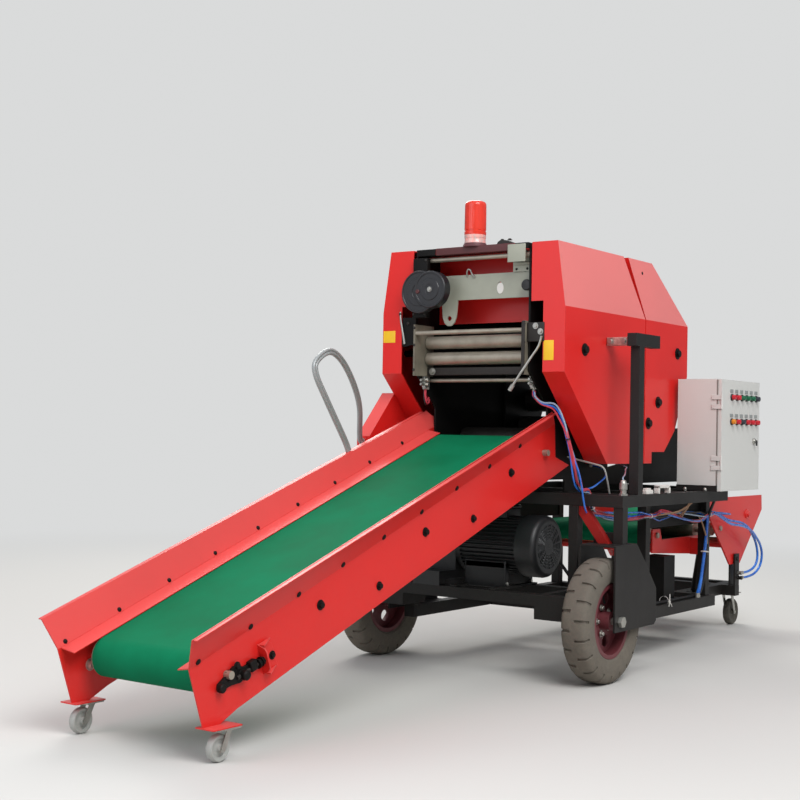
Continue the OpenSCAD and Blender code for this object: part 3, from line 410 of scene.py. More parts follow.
def sweep(path, radius, sides=12, flat=1.0):
    """A round section carried along a path; each ring stands square to the path and turns as little as it
    can. Radius may be one number or one for each point."""
    path = np.asarray(path, float)
    tangent = np.gradient(path, axis=0)
    tangent /= np.linalg.norm(tangent, axis=1)[:, None]
    normal = np.zeros_like(path)
    start = np.cross(tangent[0], (0, 0, 1) if abs(tangent[0][2]) < 0.9 else (1, 0, 0))
    normal[0] = start / np.linalg.norm(start)
    for i in range(1, len(path)):
        n = normal[i - 1] - tangent[i] * np.dot(normal[i - 1], tangent[i])
        normal[i] = n / np.linalg.norm(n)
    binormal = np.cross(tangent, normal)
    turn = np.linspace(0, 2 * math.pi, sides, endpoint=False)
    r = np.broadcast_to(np.asarray(radius, float), (len(path),))[:, None, None]
    points = path[:, None, :] + r * (np.cos(turn)[None, :, None] * normal[:, None, :]
                                     + flat * np.sin(turn)[None, :, None] * binormal[:, None, :])
    return outward(grid(points, loop_v=True, cap=True))


def curve(points, steps):
    """A smooth line through the points: a Catmull-Rom curve sampled evenly in its own parameter."""
    p = np.asarray(points, float)
    p = np.vstack([2 * p[0] - p[1], p, 2 * p[-1] - p[-2]])
    spans = len(p) - 3
    t = np.linspace(0, spans, steps)
    i = np.minimum(t.astype(int), spans - 1)
    f = (t - i)[:, None]
    a, b, c, d = p[i], p[i + 1], p[i + 2], p[i + 3]
    square = (2 * a - 5 * b + 4 * c - d) * f ** 2
    cube = (3 * b - a - 3 * c + d) * f ** 3
    return 0.5 * (2 * b + (c - a) * f + square + cube)


def rounded_box(low, high, radius, steps=4, turn=None):
    """A small sphere pulled apart into eight corners: each point is a corner's centre plus the radius along
    its direction, so that the faces stay flat and the edges are round. turn may place the points."""
    low, high = np.minimum(low, high), np.maximum(low, high)
    quarter = np.linspace(0, math.pi / 2, steps + 1)
    around = np.concatenate([quarter, quarter + math.pi / 2, quarter + math.pi, quarter + 1.5 * math.pi])
    signs_x = np.repeat([1, -1, -1, 1], steps + 1)
    signs_y = np.repeat([1, 1, -1, -1], steps + 1)
    up = np.concatenate([quarter - math.pi / 2, quarter])
    signs_z = np.repeat([-1, 1], steps + 1)
    direction = np.stack([np.cos(up)[:, None] * np.cos(around)[None, :],
                          np.cos(up)[:, None] * np.sin(around)[None, :],
                          np.sin(up)[:, None] * np.ones_like(around)[None, :]], axis=-1)
    sign = np.stack(np.broadcast_arrays(signs_x[None, :], signs_y[None, :], signs_z[:, None]), axis=-1)
    half = (high - low) / 2 - radius
    points = (low + high) / 2 + sign * half + radius * direction
    shape = outward(grid(points, loop_v=True, cap=True))
    return shape if turn is None else (turn(shape[0]), shape[1])


def plate(outline, thickness, lift):
    """A flat outline given a thickness; lift turns (a, b, depth) rows into places."""
    outline = np.asarray(outline, float)
    n = len(outline)
    depth = np.repeat([0.0, thickness], n)
    ab = np.vstack([outline, outline])
    verts = lift(ab[:, 0], ab[:, 1], depth)
    ring = np.arange(n)
    walls = np.stack([ring, (ring + 1) % n, (ring + 1) % n + n, ring + n], axis=-1)
    return outward((verts, [walls, ring[None, ::-1], ring[None, :] + n]))


def facing_front(x, sign=1):
    """Lifts an outline of (y, z) rows into the plane at x, with its thickness towards the rear, or to the
    front."""
    return lambda y, z, depth: at(x, y, z) + [sign, 0, 0] * depth[:, None]


def box(x, y, z, edge, key):
    """A block with round edges and its finish; x, y and z are (low, high) pairs in the part's millimetres."""
    return rounded_box(at(x[0], y[0], z[0]), at(x[1], y[1], z[1]), edge), key


def ring_of(half, inner, outer, place, axis, key):
    """A tie or clip around a line: a flat ring, twice half wide, with its finish."""
    rows = [(-half, inner), (-half, outer), (half, outer), (half, inner)]
    return revolve(rows, place, axis, 24, ring=True), key


def strand(places, radius, key, steps, sides=8, flat=1.0):
    """A hose, wire or rod along given (x, y, z) places, with its finish."""
    return sweep(curve(at(*np.array(places, float).T), steps), radius, sides, flat), key


def scatter(shape, places, directions):
    """Copies of one shape, whose own Z axis is laid along each direction, all worked out at once."""
    verts, polygons = shape
    places = np.atleast_2d(np.asarray(places, float))
    directions = np.broadcast_to(np.atleast_2d(np.asarray(directions, float)), places.shape)
    w = directions / np.linalg.norm(directions, axis=1)[:, None]
    helper = np.where(np.abs(w[:, 2:]) < 0.9, [[0.0, 0.0, 1.0]], [[1.0, 0.0, 0.0]])
    u = np.cross(helper, w)
    u /= np.linalg.norm(u, axis=1)[:, None]
    v = np.cross(w, u)
    placed = (verts[None, :, :1] * u[:, None, :] + verts[None, :, 1:2] * v[:, None, :]
              + verts[None, :, 2:] * w[:, None, :] + places[:, None, :])
    offset = (np.arange(len(places)) * len(verts))[:, None, None]
    return placed.reshape(-1, 3), [(p[None] + offset).reshape(-1, p.shape[1]) for p in polygons]


def hex_bolt(radius, height, washer=1.5):
    """A bolt head on its washer: six flats with a rounded top, as a profile around Z whose radius follows a
    hexagon."""
    turn = np.linspace(0, 2 * math.pi, 24, endpoint=False)
    flats = np.cos(math.pi / 6) / np.cos((turn % (math.pi / 3)) - math.pi / 6)
    rows = [(0, radius * washer, 0), (height * 0.18, radius * washer, 0), (height * 0.18, radius, 1),
            (height * 0.85, radius, 1), (height, radius * 0.8, 0)]
    z = np.array([r[0] for r in rows])[:, None] * np.ones_like(turn)
    r = np.array([r[1] for r in rows])[:, None] * np.where(np.array([r[2] for r in rows])[:, None] > 0,
                                                           flats[None, :], 1.0)
    points = np.stack([r * np.cos(turn), r * np.sin(turn), z], axis=-1)
    return outward(grid(points, loop_v=True, cap=True))


def turned(profile, steps=24):
    """A small turned part: a profile of (height, radius) rows carried once around Z."""
    return revolve(profile, (0, 0, 0), (0, 0, 1), steps)


def dome_bolt(radius, height):
    """A round head: a quarter circle carried around Z."""
    a = np.linspace(0, math.pi / 2 * 0.92, 6)
    return revolve(np.stack([height * np.sin(a), radius * np.cos(a)], axis=-1), (0, 0, 0), (0, 0, 1), 18)


def hexes(radius, height, places, toward, key, washer=1.5):
    """Hexagon heads at the places, standing out toward one side, with their finish."""
    return scatter(hex_bolt(radius, height, washer), places, toward), key


def domes(radius, height, places, toward, key):
    """Round heads at the places, standing out toward one side, with their finish."""
    return scatter(dome_bolt(radius, height), places, toward), key


def lathed(profile, steps, places, toward, key):
    """Turned parts of (height, radius) rows at the places, toward one side, with their finish."""
    return scatter(turned(profile, steps), places, toward), key


def piece(name, parts, body, replaces=(), crease=32):
    """Joins shapes with their finishes into one mesh whose object sits at the origin and rides on a body."""
    verts, loops, totals, marks, offset = [], [], [], [], 0
    names = list(dict.fromkeys(f for _, f in parts))
    for shape, finish_name in parts:
        for p in shape[1]:
            loops.append((p + offset).ravel())
            totals.append(np.full(len(p), p.shape[1]))
            marks.append(np.full(len(p), names.index(finish_name)))
        verts.append(shape[0])
        offset += len(shape[0])
    verts, loops = np.concatenate(verts), np.concatenate(loops)
    totals, marks = np.concatenate(totals), np.concatenate(marks)
    mesh = bpy.data.meshes.new(name)
    mesh.vertices.add(len(verts))
    mesh.vertices.foreach_set("co", verts.astype(np.float32).ravel())
    mesh.loops.add(len(loops))
    mesh.loops.foreach_set("vertex_index", loops.astype(np.int32))
    mesh.polygons.add(len(totals))
    mesh.polygons.foreach_set("loop_start", np.concatenate([[0], np.cumsum(totals)[:-1]]).astype(np.int32))
    mesh.polygons.foreach_set("material_index", marks.astype(np.int32))
    mesh.polygons.foreach_set("use_smooth", np.ones(len(totals), bool))
    mesh.update(calc_edges=True)
    mesh.validate()
    mesh.set_sharp_from_angle(angle=math.radians(crease))
    for n in names:
        mesh.materials.append(FINISHES[n])
    made = bpy.data.objects.new(name, mesh)
    bpy.context.scene.collection.objects.link(made)
    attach(made, body)
    if replaces:
        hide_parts(*replaces)
    return made


# Operators, one for each piece or group

WORN_BY = {
    "chassis": ["lower_frame", "front_beam", "rear_frame", "uprights", "upper_frame", "side_posts",
                "wheel_forks", "conveyor_bed"],
    "zinc": ["axles", "caster_plates", "net_valves", "hoop", "front_fork_near", "front_fork_far",
             "rear_fork_near", "rear_fork_far"],
    "enamel": ["conveyor_sides", "top_sheet", "drive_guard", "lift_frame", "table_frame"],
    "belting": ["conveyor_belt", "lift_belt", "table_belt"],
    "satin": ["conveyor_drums", "net_rods", "net_rollers", "lift_rollers", "table_rollers", "cylinder_rod"],
    "black": ["take_ups", "chamber_plates", "pulley_guard", "valve_box", "gate_plates", "bale_guides",
              "cylinder"],
    "dark_steel": ["chamber_rollers", "gate_rollers"],
    "grimy": ["net_side_plates"],
    "sage": ["net_cross_plate"],
    "foot": ["beacon_base"],
    "lens": ["beacon_lens"],
    "cover": ["covers", "gate_covers"],
    "casting": ["motor", "gearbox"],
    "blue_hose": ["air_hoses", "hose_loop"],
    "powder": ["cabinet", "cabinet_door"],
    "button_dark": ["push_buttons"],
    "tyre": ["tyre_near", "tyre_far"],
    "rim": ["rim_near", "rim_far"],
    "nylon": ["front_wheel_near", "front_wheel_far"],
    "wheel_rubber": ["rear_wheel_near", "rear_wheel_far"]}


class BALER_OT_camera(bpy.types.Operator):
    """Sets the camera where the photograph was taken, solved from the machine's own lines"""
    bl_idname = "baler.camera"
    bl_label = "Camera"

    def execute(self, context):
        data = bpy.data.cameras.new("camera")
        data.sensor_width = 36.0
        data.lens = FOCAL_LENGTH
        data.clip_end = 100.0
        made = bpy.data.objects.new("camera", data)
        context.scene.collection.objects.link(made)
        right = np.array([0.5845, -0.8111, 0.0187])
        down = np.array([0.0300, -0.0015, -0.9996])
        forward = np.cross(right, down)
        turn = Matrix([[right[i], -down[i], -forward[i]] for i in range(3)]).to_4x4()
        made.matrix_world = Matrix.Translation(at(*EYE)) @ turn
        context.scene.camera = made
        return {"FINISHED"}


class BALER_OT_loops(bpy.types.Operator):
    """Lays the free loops of blue hose behind the cabinet, along the route of the part's own loop"""
    bl_idname = "baler.loops"
    bl_label = "Hose loops"

    def execute(self, context):
        loops = {"hose_loop_outer": (0.006,
                                     ((1300.3, -411.3, 588), (1350, -411, 583), (1435, -410, 556),
                                      (1527, -406, 531), (1625, -402, 521), (1719, -398, 509),
                                      (1815, -393, 486), (1894, -388, 449), (1965, -382, 406),
                                      (2004, -376, 355), (2004, -367, 300), (1955, -358, 264),
                                      (1875, -353, 252), (1800, -350, 252))),
                 "hose_loop_inner": (0.006,
                                     ((1300.3, -404, 594), (1350, -399, 591), (1435, -395, 572),
                                      (1527, -391, 549), (1625, -387, 538), (1719, -383, 526),
                                      (1808, -378, 502), (1880, -373, 463), (1940, -368, 418),
                                      (1975, -364, 366), (1976, -360, 320), (1938, -356, 290),
                                      (1872, -352, 277), (1800, -350, 276))),
                 "hose_loop_short": (0.004,
                                     ((1300.3, -417, 594), (1360, -426, 590), (1420, -430, 585),
                                      (1468, -426, 581), (1502, -408, 578), (1514, -385, 577),
                                      (1503, -361, 577), (1470, -346, 580), (1425, -345, 586),
                                      (1370, -354, 594), (1320, -365, 601), (1287, -372, 604)))}
        for name, (radius, route) in loops.items():
            line = curve(at(*np.array(route).T), 3 * (len(route) - 1) + 1)
            hose = piece(name, [(sweep(line, radius, 14), "blue_hose")], "frame",
                         ["hose_loop"] if name == "hose_loop_outer" else ())
        ends = [lathed([(-0.004, 0.0085), (0.012, 0.0085), (0.013, 0.0075), (0.018, 0.007)], 18,
                       at([1803, 1803], -350, [252, 276]), (1, 0, 0), "zinc"),
                lathed([(0, 0.009), (0.020, 0.009), (0.022, 0.007)], 18, at(1790.5, -337.3, 276), (0, -1, 0),
                       "zinc"),
                lathed([(0, 0.007), (0.006, 0.007), (0.007, 0.0055), (0.012, 0.0055)], 18,
                       at(1285.2, -372, 604), (1, 0, 0), "zinc")]
        piece("loop_fittings", ends, "frame")
        return {"FINISHED"}


class BALER_OT_stage(bpy.types.Operator):
    """Lays a pale floor and backdrop and hangs soft studio lamps around the machine"""
    bl_idname = "baler.stage"
    bl_label = "Stage"

    def execute(self, context):
        side = np.array([[[-40, -40, 0], [-40, 40, 0]], [[40, -40, 0], [40, 40, 0]]], float)
        floor = bpy.data.meshes.new("floor")
        floor.from_pydata(side.reshape(-1, 3).tolist(), [], [(0, 2, 3, 1)])
        ground = bpy.data.objects.new("floor", floor)
        context.scene.collection.objects.link(ground)
        mat = bpy.data.materials.new("Pale studio floor")
        mat.use_nodes = True
        tree = mat.node_tree
        tree.nodes.clear()
        out = add(tree, "OutputMaterial")
        matt = add(tree, "BsdfPrincipled",
                   inputs={"Base Color": linear("#CBC9C5"), "Roughness": 0.9, "Specular IOR Level": 0.2})
        # Away from the machine the floor takes the backdrop's own tone, so that no edge shows where it ends
        coords = add(tree, "TexCoord")
        far = add(tree, "VectorMath", [(0, coords, "Object")], operation="LENGTH")
        amount = add(tree, "MapRange", [("Value", far, "Value")], {"From Min": 2.6, "From Max": 8.0},
                     interpolation_type="SMOOTHSTEP")
        pale = add(tree, "Emission", inputs={"Color": linear(BACKDROP), "Strength": BACKDROP_STRENGTH})
        both = add(tree, "MixShader", [(0, amount, 0), (1, matt, 0), (2, pale, 0)])
        tree.links.new(both.outputs[0], out.inputs[0])
        floor.materials.append(mat)
        world = bpy.data.worlds.new("studio")
        context.scene.world = world
        world.use_nodes = True
        tree = world.node_tree
        tree.nodes.clear()
        out = add(tree, "OutputWorld")
        rays = add(tree, "LightPath")
        seen = add(tree, "Math", [(0, rays, "Is Camera Ray"), (1, rays, "Is Transmission Ray")],
                   operation="MAXIMUM")
        # What lights the machine is an open sky, bright overhead and dim at the horizon
        where = add(tree, "TexCoord")
        height = add(tree, "SeparateXYZ", [("Vector", where, "Generated")])
        glow = add(tree, "MapRange", [("Value", height, "Z")],
                   {"From Min": 0.05, "From Max": 0.85, "To Min": 0.22, "To Max": 0.78})
        light = add(tree, "Background", [("Strength", glow, 0)], {"Color": linear("#E8ECF2")})
        pale = add(tree, "Background", inputs={"Color": linear(BACKDROP), "Strength": BACKDROP_STRENGTH})
        both = add(tree, "MixShader", [(0, seen, 0), (1, light, 0), (2, pale, 0)])
        tree.links.new(both.outputs[0], out.inputs[0])
        for name, place, size, power, tint in (("key", (-3.2, -4.6, 6.0), 4.5, 480, "#FFFFFF"),
                                               ("fill", (-5.5, 1.5, 3.2), 4.0, 95, "#F4F7FF"),
                                               ("back", (3.5, 4.0, 5.5), 4.0, 260, "#FFFDF8")):
            lamp = bpy.data.lights.new(name, "AREA")
            lamp.size = size
            lamp.energy = power
            lamp.color = linear(tint)[:3]
            made = bpy.data.objects.new(name, lamp)
            context.scene.collection.objects.link(made)
            back = np.array(place) - np.array([0, 0, 0.8])
            back /= np.linalg.norm(back)
            across = np.cross((0, 0, 1), back)
            across /= np.linalg.norm(across)
            up = np.cross(back, across)
            turn = Matrix([[across[i], up[i], back[i]] for i in range(3)]).to_4x4()
            made.matrix_world = Matrix.Translation(place) @ turn
        context.scene.view_settings.view_transform = "Standard"
        return {"FINISHED"}


class BALER_OT_finishes(bpy.types.Operator):
    """Makes the finishes and puts one on every part of the frame"""
    bl_idname = "baler.finishes"
    bl_label = "Finishes"

    def execute(self, context):
        make_finishes()
        for key, names in WORN_BY.items():
            for name in names:
                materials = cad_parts[name].data.materials
                materials.clear()
                materials.append(FINISHES[key])
        return {"FINISHED"}


class BALER_OT_tyres(bpy.types.Operator):
    """Moulds the two main tyres with their shoulder slots"""
    bl_idname = "baler.tyres"
    bl_label = "Main tyres"

    def execute(self, context):
        sizes, _ = settings()
        rim, tyre, wide = 0.1353, 0.2372, 0.0559
        rows = np.array([(-0.0396, rim), (-0.0400, 0.1436), (-0.0438, 0.1440), (-0.0462, 0.1475),
                         (-0.0500, 0.1500), (-0.0530, 0.1640), (-wide, 0.1800), (-wide, 0.1950),
                         (-0.0553, 0.2030), (-0.0550, 0.2050), (-0.0545, 0.2090), (-0.0535, 0.2150),
                         (-0.0515, 0.2200), (-0.0490, 0.2248), (-0.0460, 0.2285), (-0.0420, 0.2315),
                         (-0.0380, 0.2335), (-0.0290, 0.2358), (-0.0200, 0.2368), (-0.0110, tyre),
                         (-0.0095, tyre), (-0.0080, tyre), (0.0, tyre)])
        profile = np.vstack([rows, rows[-2::-1] * [-1, 1]])
        count = sizes.tread_slots

        def slot(along, radius, turn):
            # Slots ten millimetres wide run from near the middle over each shoulder, half a pitch apart on
            # the two sides
            side = np.sign(along) * 0.25
            cut = np.clip((np.cos(2 * math.pi * (count * turn / (2 * math.pi) + side)) - 0.905) / 0.03, 0, 1)
            reach = np.clip((np.abs(along) - 0.0083) / 0.0012, 0, 1)
            reach = reach * np.clip((radius - 0.2040) / 0.0012, 0, 1)
            fall = sizes.tread_depth * cut * reach
            steep = np.clip((np.abs(along) - 0.046) / 0.008, 0, 1)
            return along - np.sign(along) * fall * 0.7 * steep, radius - fall * (1 - 0.55 * steep)

        for side, y in (("near", -TRACK_Y), ("far", TRACK_Y)):
            shape = revolve(profile, at(0, y, AXLE_Z), (0, 1, 0), count * STEPS_PER_SLOT, slot, ring=True)
            piece(f"tyre_moulded_{side}", [(shape, "tyre")], f"wheel_{side}", [f"tyre_{side}"],
                  crease=40)
        return {"FINISHED"}


class BALER_OT_casters(bpy.types.Operator):
    """Turns the four caster wheels with their treads, dished webs and hubs"""
    bl_idname = "baler.casters"
    bl_label = "Caster wheels"

    def execute(self, context):
        for end, x, y, r, half, skin in (("front", -1850, 284, 0.0398, 0.0118, "nylon"),
                                         ("rear", 1940, 240, 0.0648, 0.0168, "wheel_rubber")):
            hub = half + 0.0028
            half_rows = [(-hub, 0.0055), (-hub, 0.0105), (-half * 0.75, 0.0115), (-half * 0.45, 0.0150),
                         (-half * 0.45, r * 0.60), (-half * 0.80, r * 0.68), (-half * 0.96, r * 0.80),
                         (-half, r * 0.90), (-half * 0.75, r * 0.975), (-half * 0.3, r)]
            rows = half_rows + [(-along, radius) for along, radius in reversed(half_rows)]
            for name, side in (("near", -1), ("far", 1)):
                wheel = revolve(rows, at(x, side * y, r * 1000 + 0.2), (0, 1, 0), 56, ring=True)
                piece(f"{end}_caster_{name}", [(wheel, skin)], f"{end}_roll_{name}",
                      replaces=[f"{end}_wheel_{name}"], crease=50)
        return {"FINISHED"}


class BALER_OT_bolts(bpy.types.Operator):
    """Sets the bolts of the conveyor's boards, the covers, the cabinet's foot and the rims, and the table's
    bosses"""
    bl_idname = "baler.bolts"
    bl_label = "Bolts"

    def execute(self, context):
        r = settings()[0].bolt_radius
        # The boards' upper strips lean out by 44 in 94, and their nine bolts stand 227.2 apart
        lean = math.atan2(44, 94)
        fold = -1985 + 227.2 * np.arange(9)
        parts = []
        for side in (-1, 1):
            out = on_belt(0, side, 0) - on_belt(0, 0, 0)
            up = on_belt(0, 0, 1) - on_belt(0, 0, 0)
            out, up = out / np.linalg.norm(out), up / np.linalg.norm(up)
            outer = out * math.cos(lean) - up * math.sin(lean)
            parts += [domes(r, 0.006, on_belt(fold, side * 276.6, 24), outer, "black"),
                      domes(r * 0.8, 0.005, on_belt(fold, side * 272.6, 24), -outer, "black"),
                      hexes(r * 1.15, 0.012, on_belt([-1442, -845, -254], side * 273, -52), out, "black"),
                      hexes(r * 1.05, 0.011, on_belt([-1144, -550], side * 273, -120), out, "black")]
        piece("conveyor_bolts", parts, "frame")
        cover, gate = [], []
        # The covers' upper halves lean in by 35 in 250
        bevel = math.atan2(35, 250)
        for side in (-1, 1):
            out = (0, side, 0)
            cover.append(hexes(0.0165, 0.014, at(10, side * 426, 1268), out, "black"))
            gate.append(hexes(0.0165, 0.014, at([856, 667, 576], side * 426, [1300, 1083, 993]), out,
                              "black"))
            gate.append(domes(0.007, 0.002, at(557, side * 398.6, 1622),
                              (0, side * math.cos(bevel), math.sin(bevel)), "black"))
            cover.append(hexes(0.010, 0.009, at(187.6, side * np.array([446, 505]), 1311), (-1, 0, 0),
                               "zinc"))
            cover.append(box((188, 232), (side * 427, side * 549.6), (1295, 1327), 0.003, "link"))
            cover.append(box((176, 240), (side * 520, side * 549.6), (1291, 1331), 0.004, "zinc"))
        piece("cover_bolts", cover, "frame")
        piece("gate_bolts", gate, "gate")
        strip = domes(0.009, 0.007, at(813.8, np.array([-489, -580]), 716), (-1, 0, 0), "zinc")
        piece("strip_bolts", [strip], "frame")
        boss = [lathed([(0, 0.024), (0.004, 0.024), (0.006, 0.021), (0.006, 0.014), (0.012, 0.013),
                        (0.015, 0.010)], 28, at(1931, side * 324, 559), (0, side, 0),
                       "enamel") for side in (-1, 1)]
        piece("table_bosses", boss, "table")
        for name, side in (("near", -1), ("far", 1)):
            turn = np.arange(5) * 2 * math.pi / 5 + 0.63
            nuts = scatter(hex_bolt(0.0085, 0.012),
                           at(52 * np.cos(turn), side * (TRACK_Y + 6), AXLE_Z + 52 * np.sin(turn)),
                           (0, side, 0))
            piece(f"rim_nuts_{name}", [(nuts, "zinc")], f"wheel_{name}")
        return {"FINISHED"}


class BALER_OT_take_ups(bpy.types.Operator):
    """Forges the belt's two screw take-ups at the conveyor's foot"""
    bl_idname = "baler.take_ups"
    bl_label = "Take-ups"

    def execute(self, context):
        arm = ((-1940, -86), (-1934, -72), (-1900, -64), (-1862, -52), (-1846, -56), (-1822, -72),
               (-1770, -75), (-1768, -94), (-1822, -103), (-1850, -108), (-1888, -98), (-1926, -95))
        rib = ((273.2, -40), (299, -52), (304, -62), (304, -112), (298, -124), (273.2, -136))
        flat = ((-1742, -42), (-1708, -42), (-1688, -62), (-1684, -136), (-1742, -136))
        web = ((-1742, 277), (-1742, 300), (-1692, 279))
        screw = [(0.0, 0.0055)] + [(0.002 * k, 0.0055 + 0.0011 * (k % 2)) for k in range(1, 60)]
        along = on_belt(1, 0, 0) - on_belt(0, 0, 0)
        parts = []

        def slope(v):
            # Rows of (up the slope, across, above the belt) become places
            return on_belt(v[:, 0], v[:, 1], v[:, 2])

        for side in (-1, 1):
            out = on_belt(0, side, 0) - on_belt(0, 0, 0)
            parts += [(plate(arm, 9.0, lambda a, b, d: on_belt(a, side * (273.2 + d), b)), "black"),
                      (rounded_box((-1806, side * 273, -98), (-1778, side * 294, -66), 4, turn=slope),
                       "black"),
                      (rounded_box((-1898, side * 273, -82), (-1878, side * 288, -52), 4, turn=slope),
                       "black"),
                      lathed([(0, 0.015), (0.020, 0.015), (0.024, 0.012), (0.026, 0.007)], 24,
                             on_belt(-1836, side * 280, -90), out, "black"),
                      lathed([(0, 0.013), (0.014, 0.013), (0.017, 0.010)], 24,
                             on_belt(-1932, side * 280, -84), out, "black"),
                      hexes(0.013, 0.016, at(-1830, side * 271.8, 209), -out, "link"),
                      hexes(0.009, 0.008, on_belt(-1850, side * 282, -56), out, "black"),
                      lathed(screw, 16, on_belt(-1862, side * 284, -88), along, "dark_steel"),
                      hexes(0.013, 0.014, on_belt([-1772, -1758], side * 284, -88), along, "black", 1.2),
                      (plate(rib, 5.0, lambda a, b, d: on_belt(-1745 + d, side * a, b)), "enamel"),
                      (plate(flat, 4.0, lambda a, b, d: on_belt(a, side * (273.2 + d), b)), "enamel")]
            parts += [(plate(web, 3.0, lambda a, b, d: on_belt(a, side * b, n + d)), "enamel")
                      for n in (-44, -134)]
            parts.append(hexes(0.009, 0.008, on_belt(-1698, side * 277.4, -96), out, "black"))
        piece("take_up_sets", parts, "frame", ["take_ups"])
        return {"FINISHED"}


class BALER_OT_cabinet(bpy.types.Operator):
    """Makes the cabinet's buttons with their blank plates, its lock and the gasket behind the door"""
    bl_idname = "baler.cabinet"
    bl_label = "Cabinet"

    def execute(self, context):
        r = settings()[0].button_radius
        bezel = turned([(0, r), (0.004, r), (0.006, r * 0.93), (0.006, r * 0.78), (0.0052, r * 0.76)], 24)
        cap = turned([(0.0, r * 0.74), (0.016, r * 0.74), (0.0195, r * 0.68), (0.0205, r * 0.5),
                      (0.021, r * 0.1)], 24)
        x = 820 + 107 + 55 * np.arange(6)
        rows = ((1113, ("red", "red", "green", "green", "green", "dark")),
                (1008, ("amber", "red", "dark", "red", "red", "red")))
        parts = []
        for z, names in rows:
            parts.append((scatter(bezel, at(x, DOOR_Y, z), (0, -1, 0)), "knob"))
            for each in x:
                parts.append(box((each - 17, each + 17), (DOOR_Y - 0.9, DOOR_Y + 0.1), (z + 19, z + 34),
                                 0.0004, "label"))
            for key in sorted(set(names)):
                chosen = x[[i for i, n in enumerate(names) if n == key]]
                parts.append((scatter(cap, at(chosen, DOOR_Y, z), (0, -1, 0)), "button_" + key))
        lock = revolve([(0, 0.013), (0.006, 0.013), (0.009, 0.011), (0.009, 0.006), (0.016, 0.005)],
                       at(1180, DOOR_Y, 925), (0, -1, 0), 24)
        parts.append((lock, "zinc"))
        parts.append(box((1174, 1186), (-666, -661), (905, 930), 0.002, "knob"))
        piece("buttons_and_lock", parts, "door", ["push_buttons"])
        gasket = [box((819.5, 826), (-631.9, -625), (714, 1185), 0.0004, "gasket"),
                  box((826, 1240), (-631.9, -625), (1181, 1188.4), 0.0004, "gasket")]
        piece("door_gasket", gasket, "frame")
        return {"FINISHED"}


class BALER_OT_beacon(bpy.types.Operator):
    """Turns the warning lamp's flange, its clear foot and its ribbed lens"""
    bl_idname = "baler.beacon"
    bl_label = "Beacon"

    def execute(self, context):
        base = at(-122, 0, 1675)
        flange = revolve([(0, 0.0479), (0.006, 0.0479), (0.010, 0.046), (0.014, 0.0445), (0.015, 0.0415)],
                         base, (0, 0, 1), 64)
        foot = revolve([(0.0145, 0.0425), (0.020, 0.0425), (0.022, 0.0415), (0.034, 0.0415), (0.036, 0.0428),
                        (0.046, 0.0428), (0.048, 0.0415)], base, (0, 0, 1), 64)
        piece("beacon_foot", [(flange, "foot"), (foot, "blotchy")], "frame", ["beacon_base"])

        def ribs(along, radius, turn):
            # A soft ribbing of 36 flutes on the straight wall, none on the bands and the crown
            wall = np.clip((along - 0.026) / 0.004, 0, 1) * np.clip((0.118 - along) / 0.004, 0, 1)
            return along, radius - 0.0006 * wall * (0.5 + 0.5 * np.cos(36 * turn))

        lens = revolve([(0, 0.0415), (0.001, 0.0432), (0.012, 0.0434), (0.014, 0.0412), (0.018, 0.0412),
                        (0.020, 0.0432), (0.026, 0.0432), (0.045, 0.0432), (0.070, 0.0430), (0.095, 0.0428),
                        (0.114, 0.0426), (0.120, 0.0424), (0.126, 0.041), (0.131, 0.037), (0.134, 0.030),
                        (0.1355, 0.018), (0.136, 0.004)], base + [0, 0, 0.048], (0, 0, 1), 144, ribs)
        piece("beacon_glass", [(lens, "lens")], "frame", ["beacon_lens"])
        return {"FINISHED"}


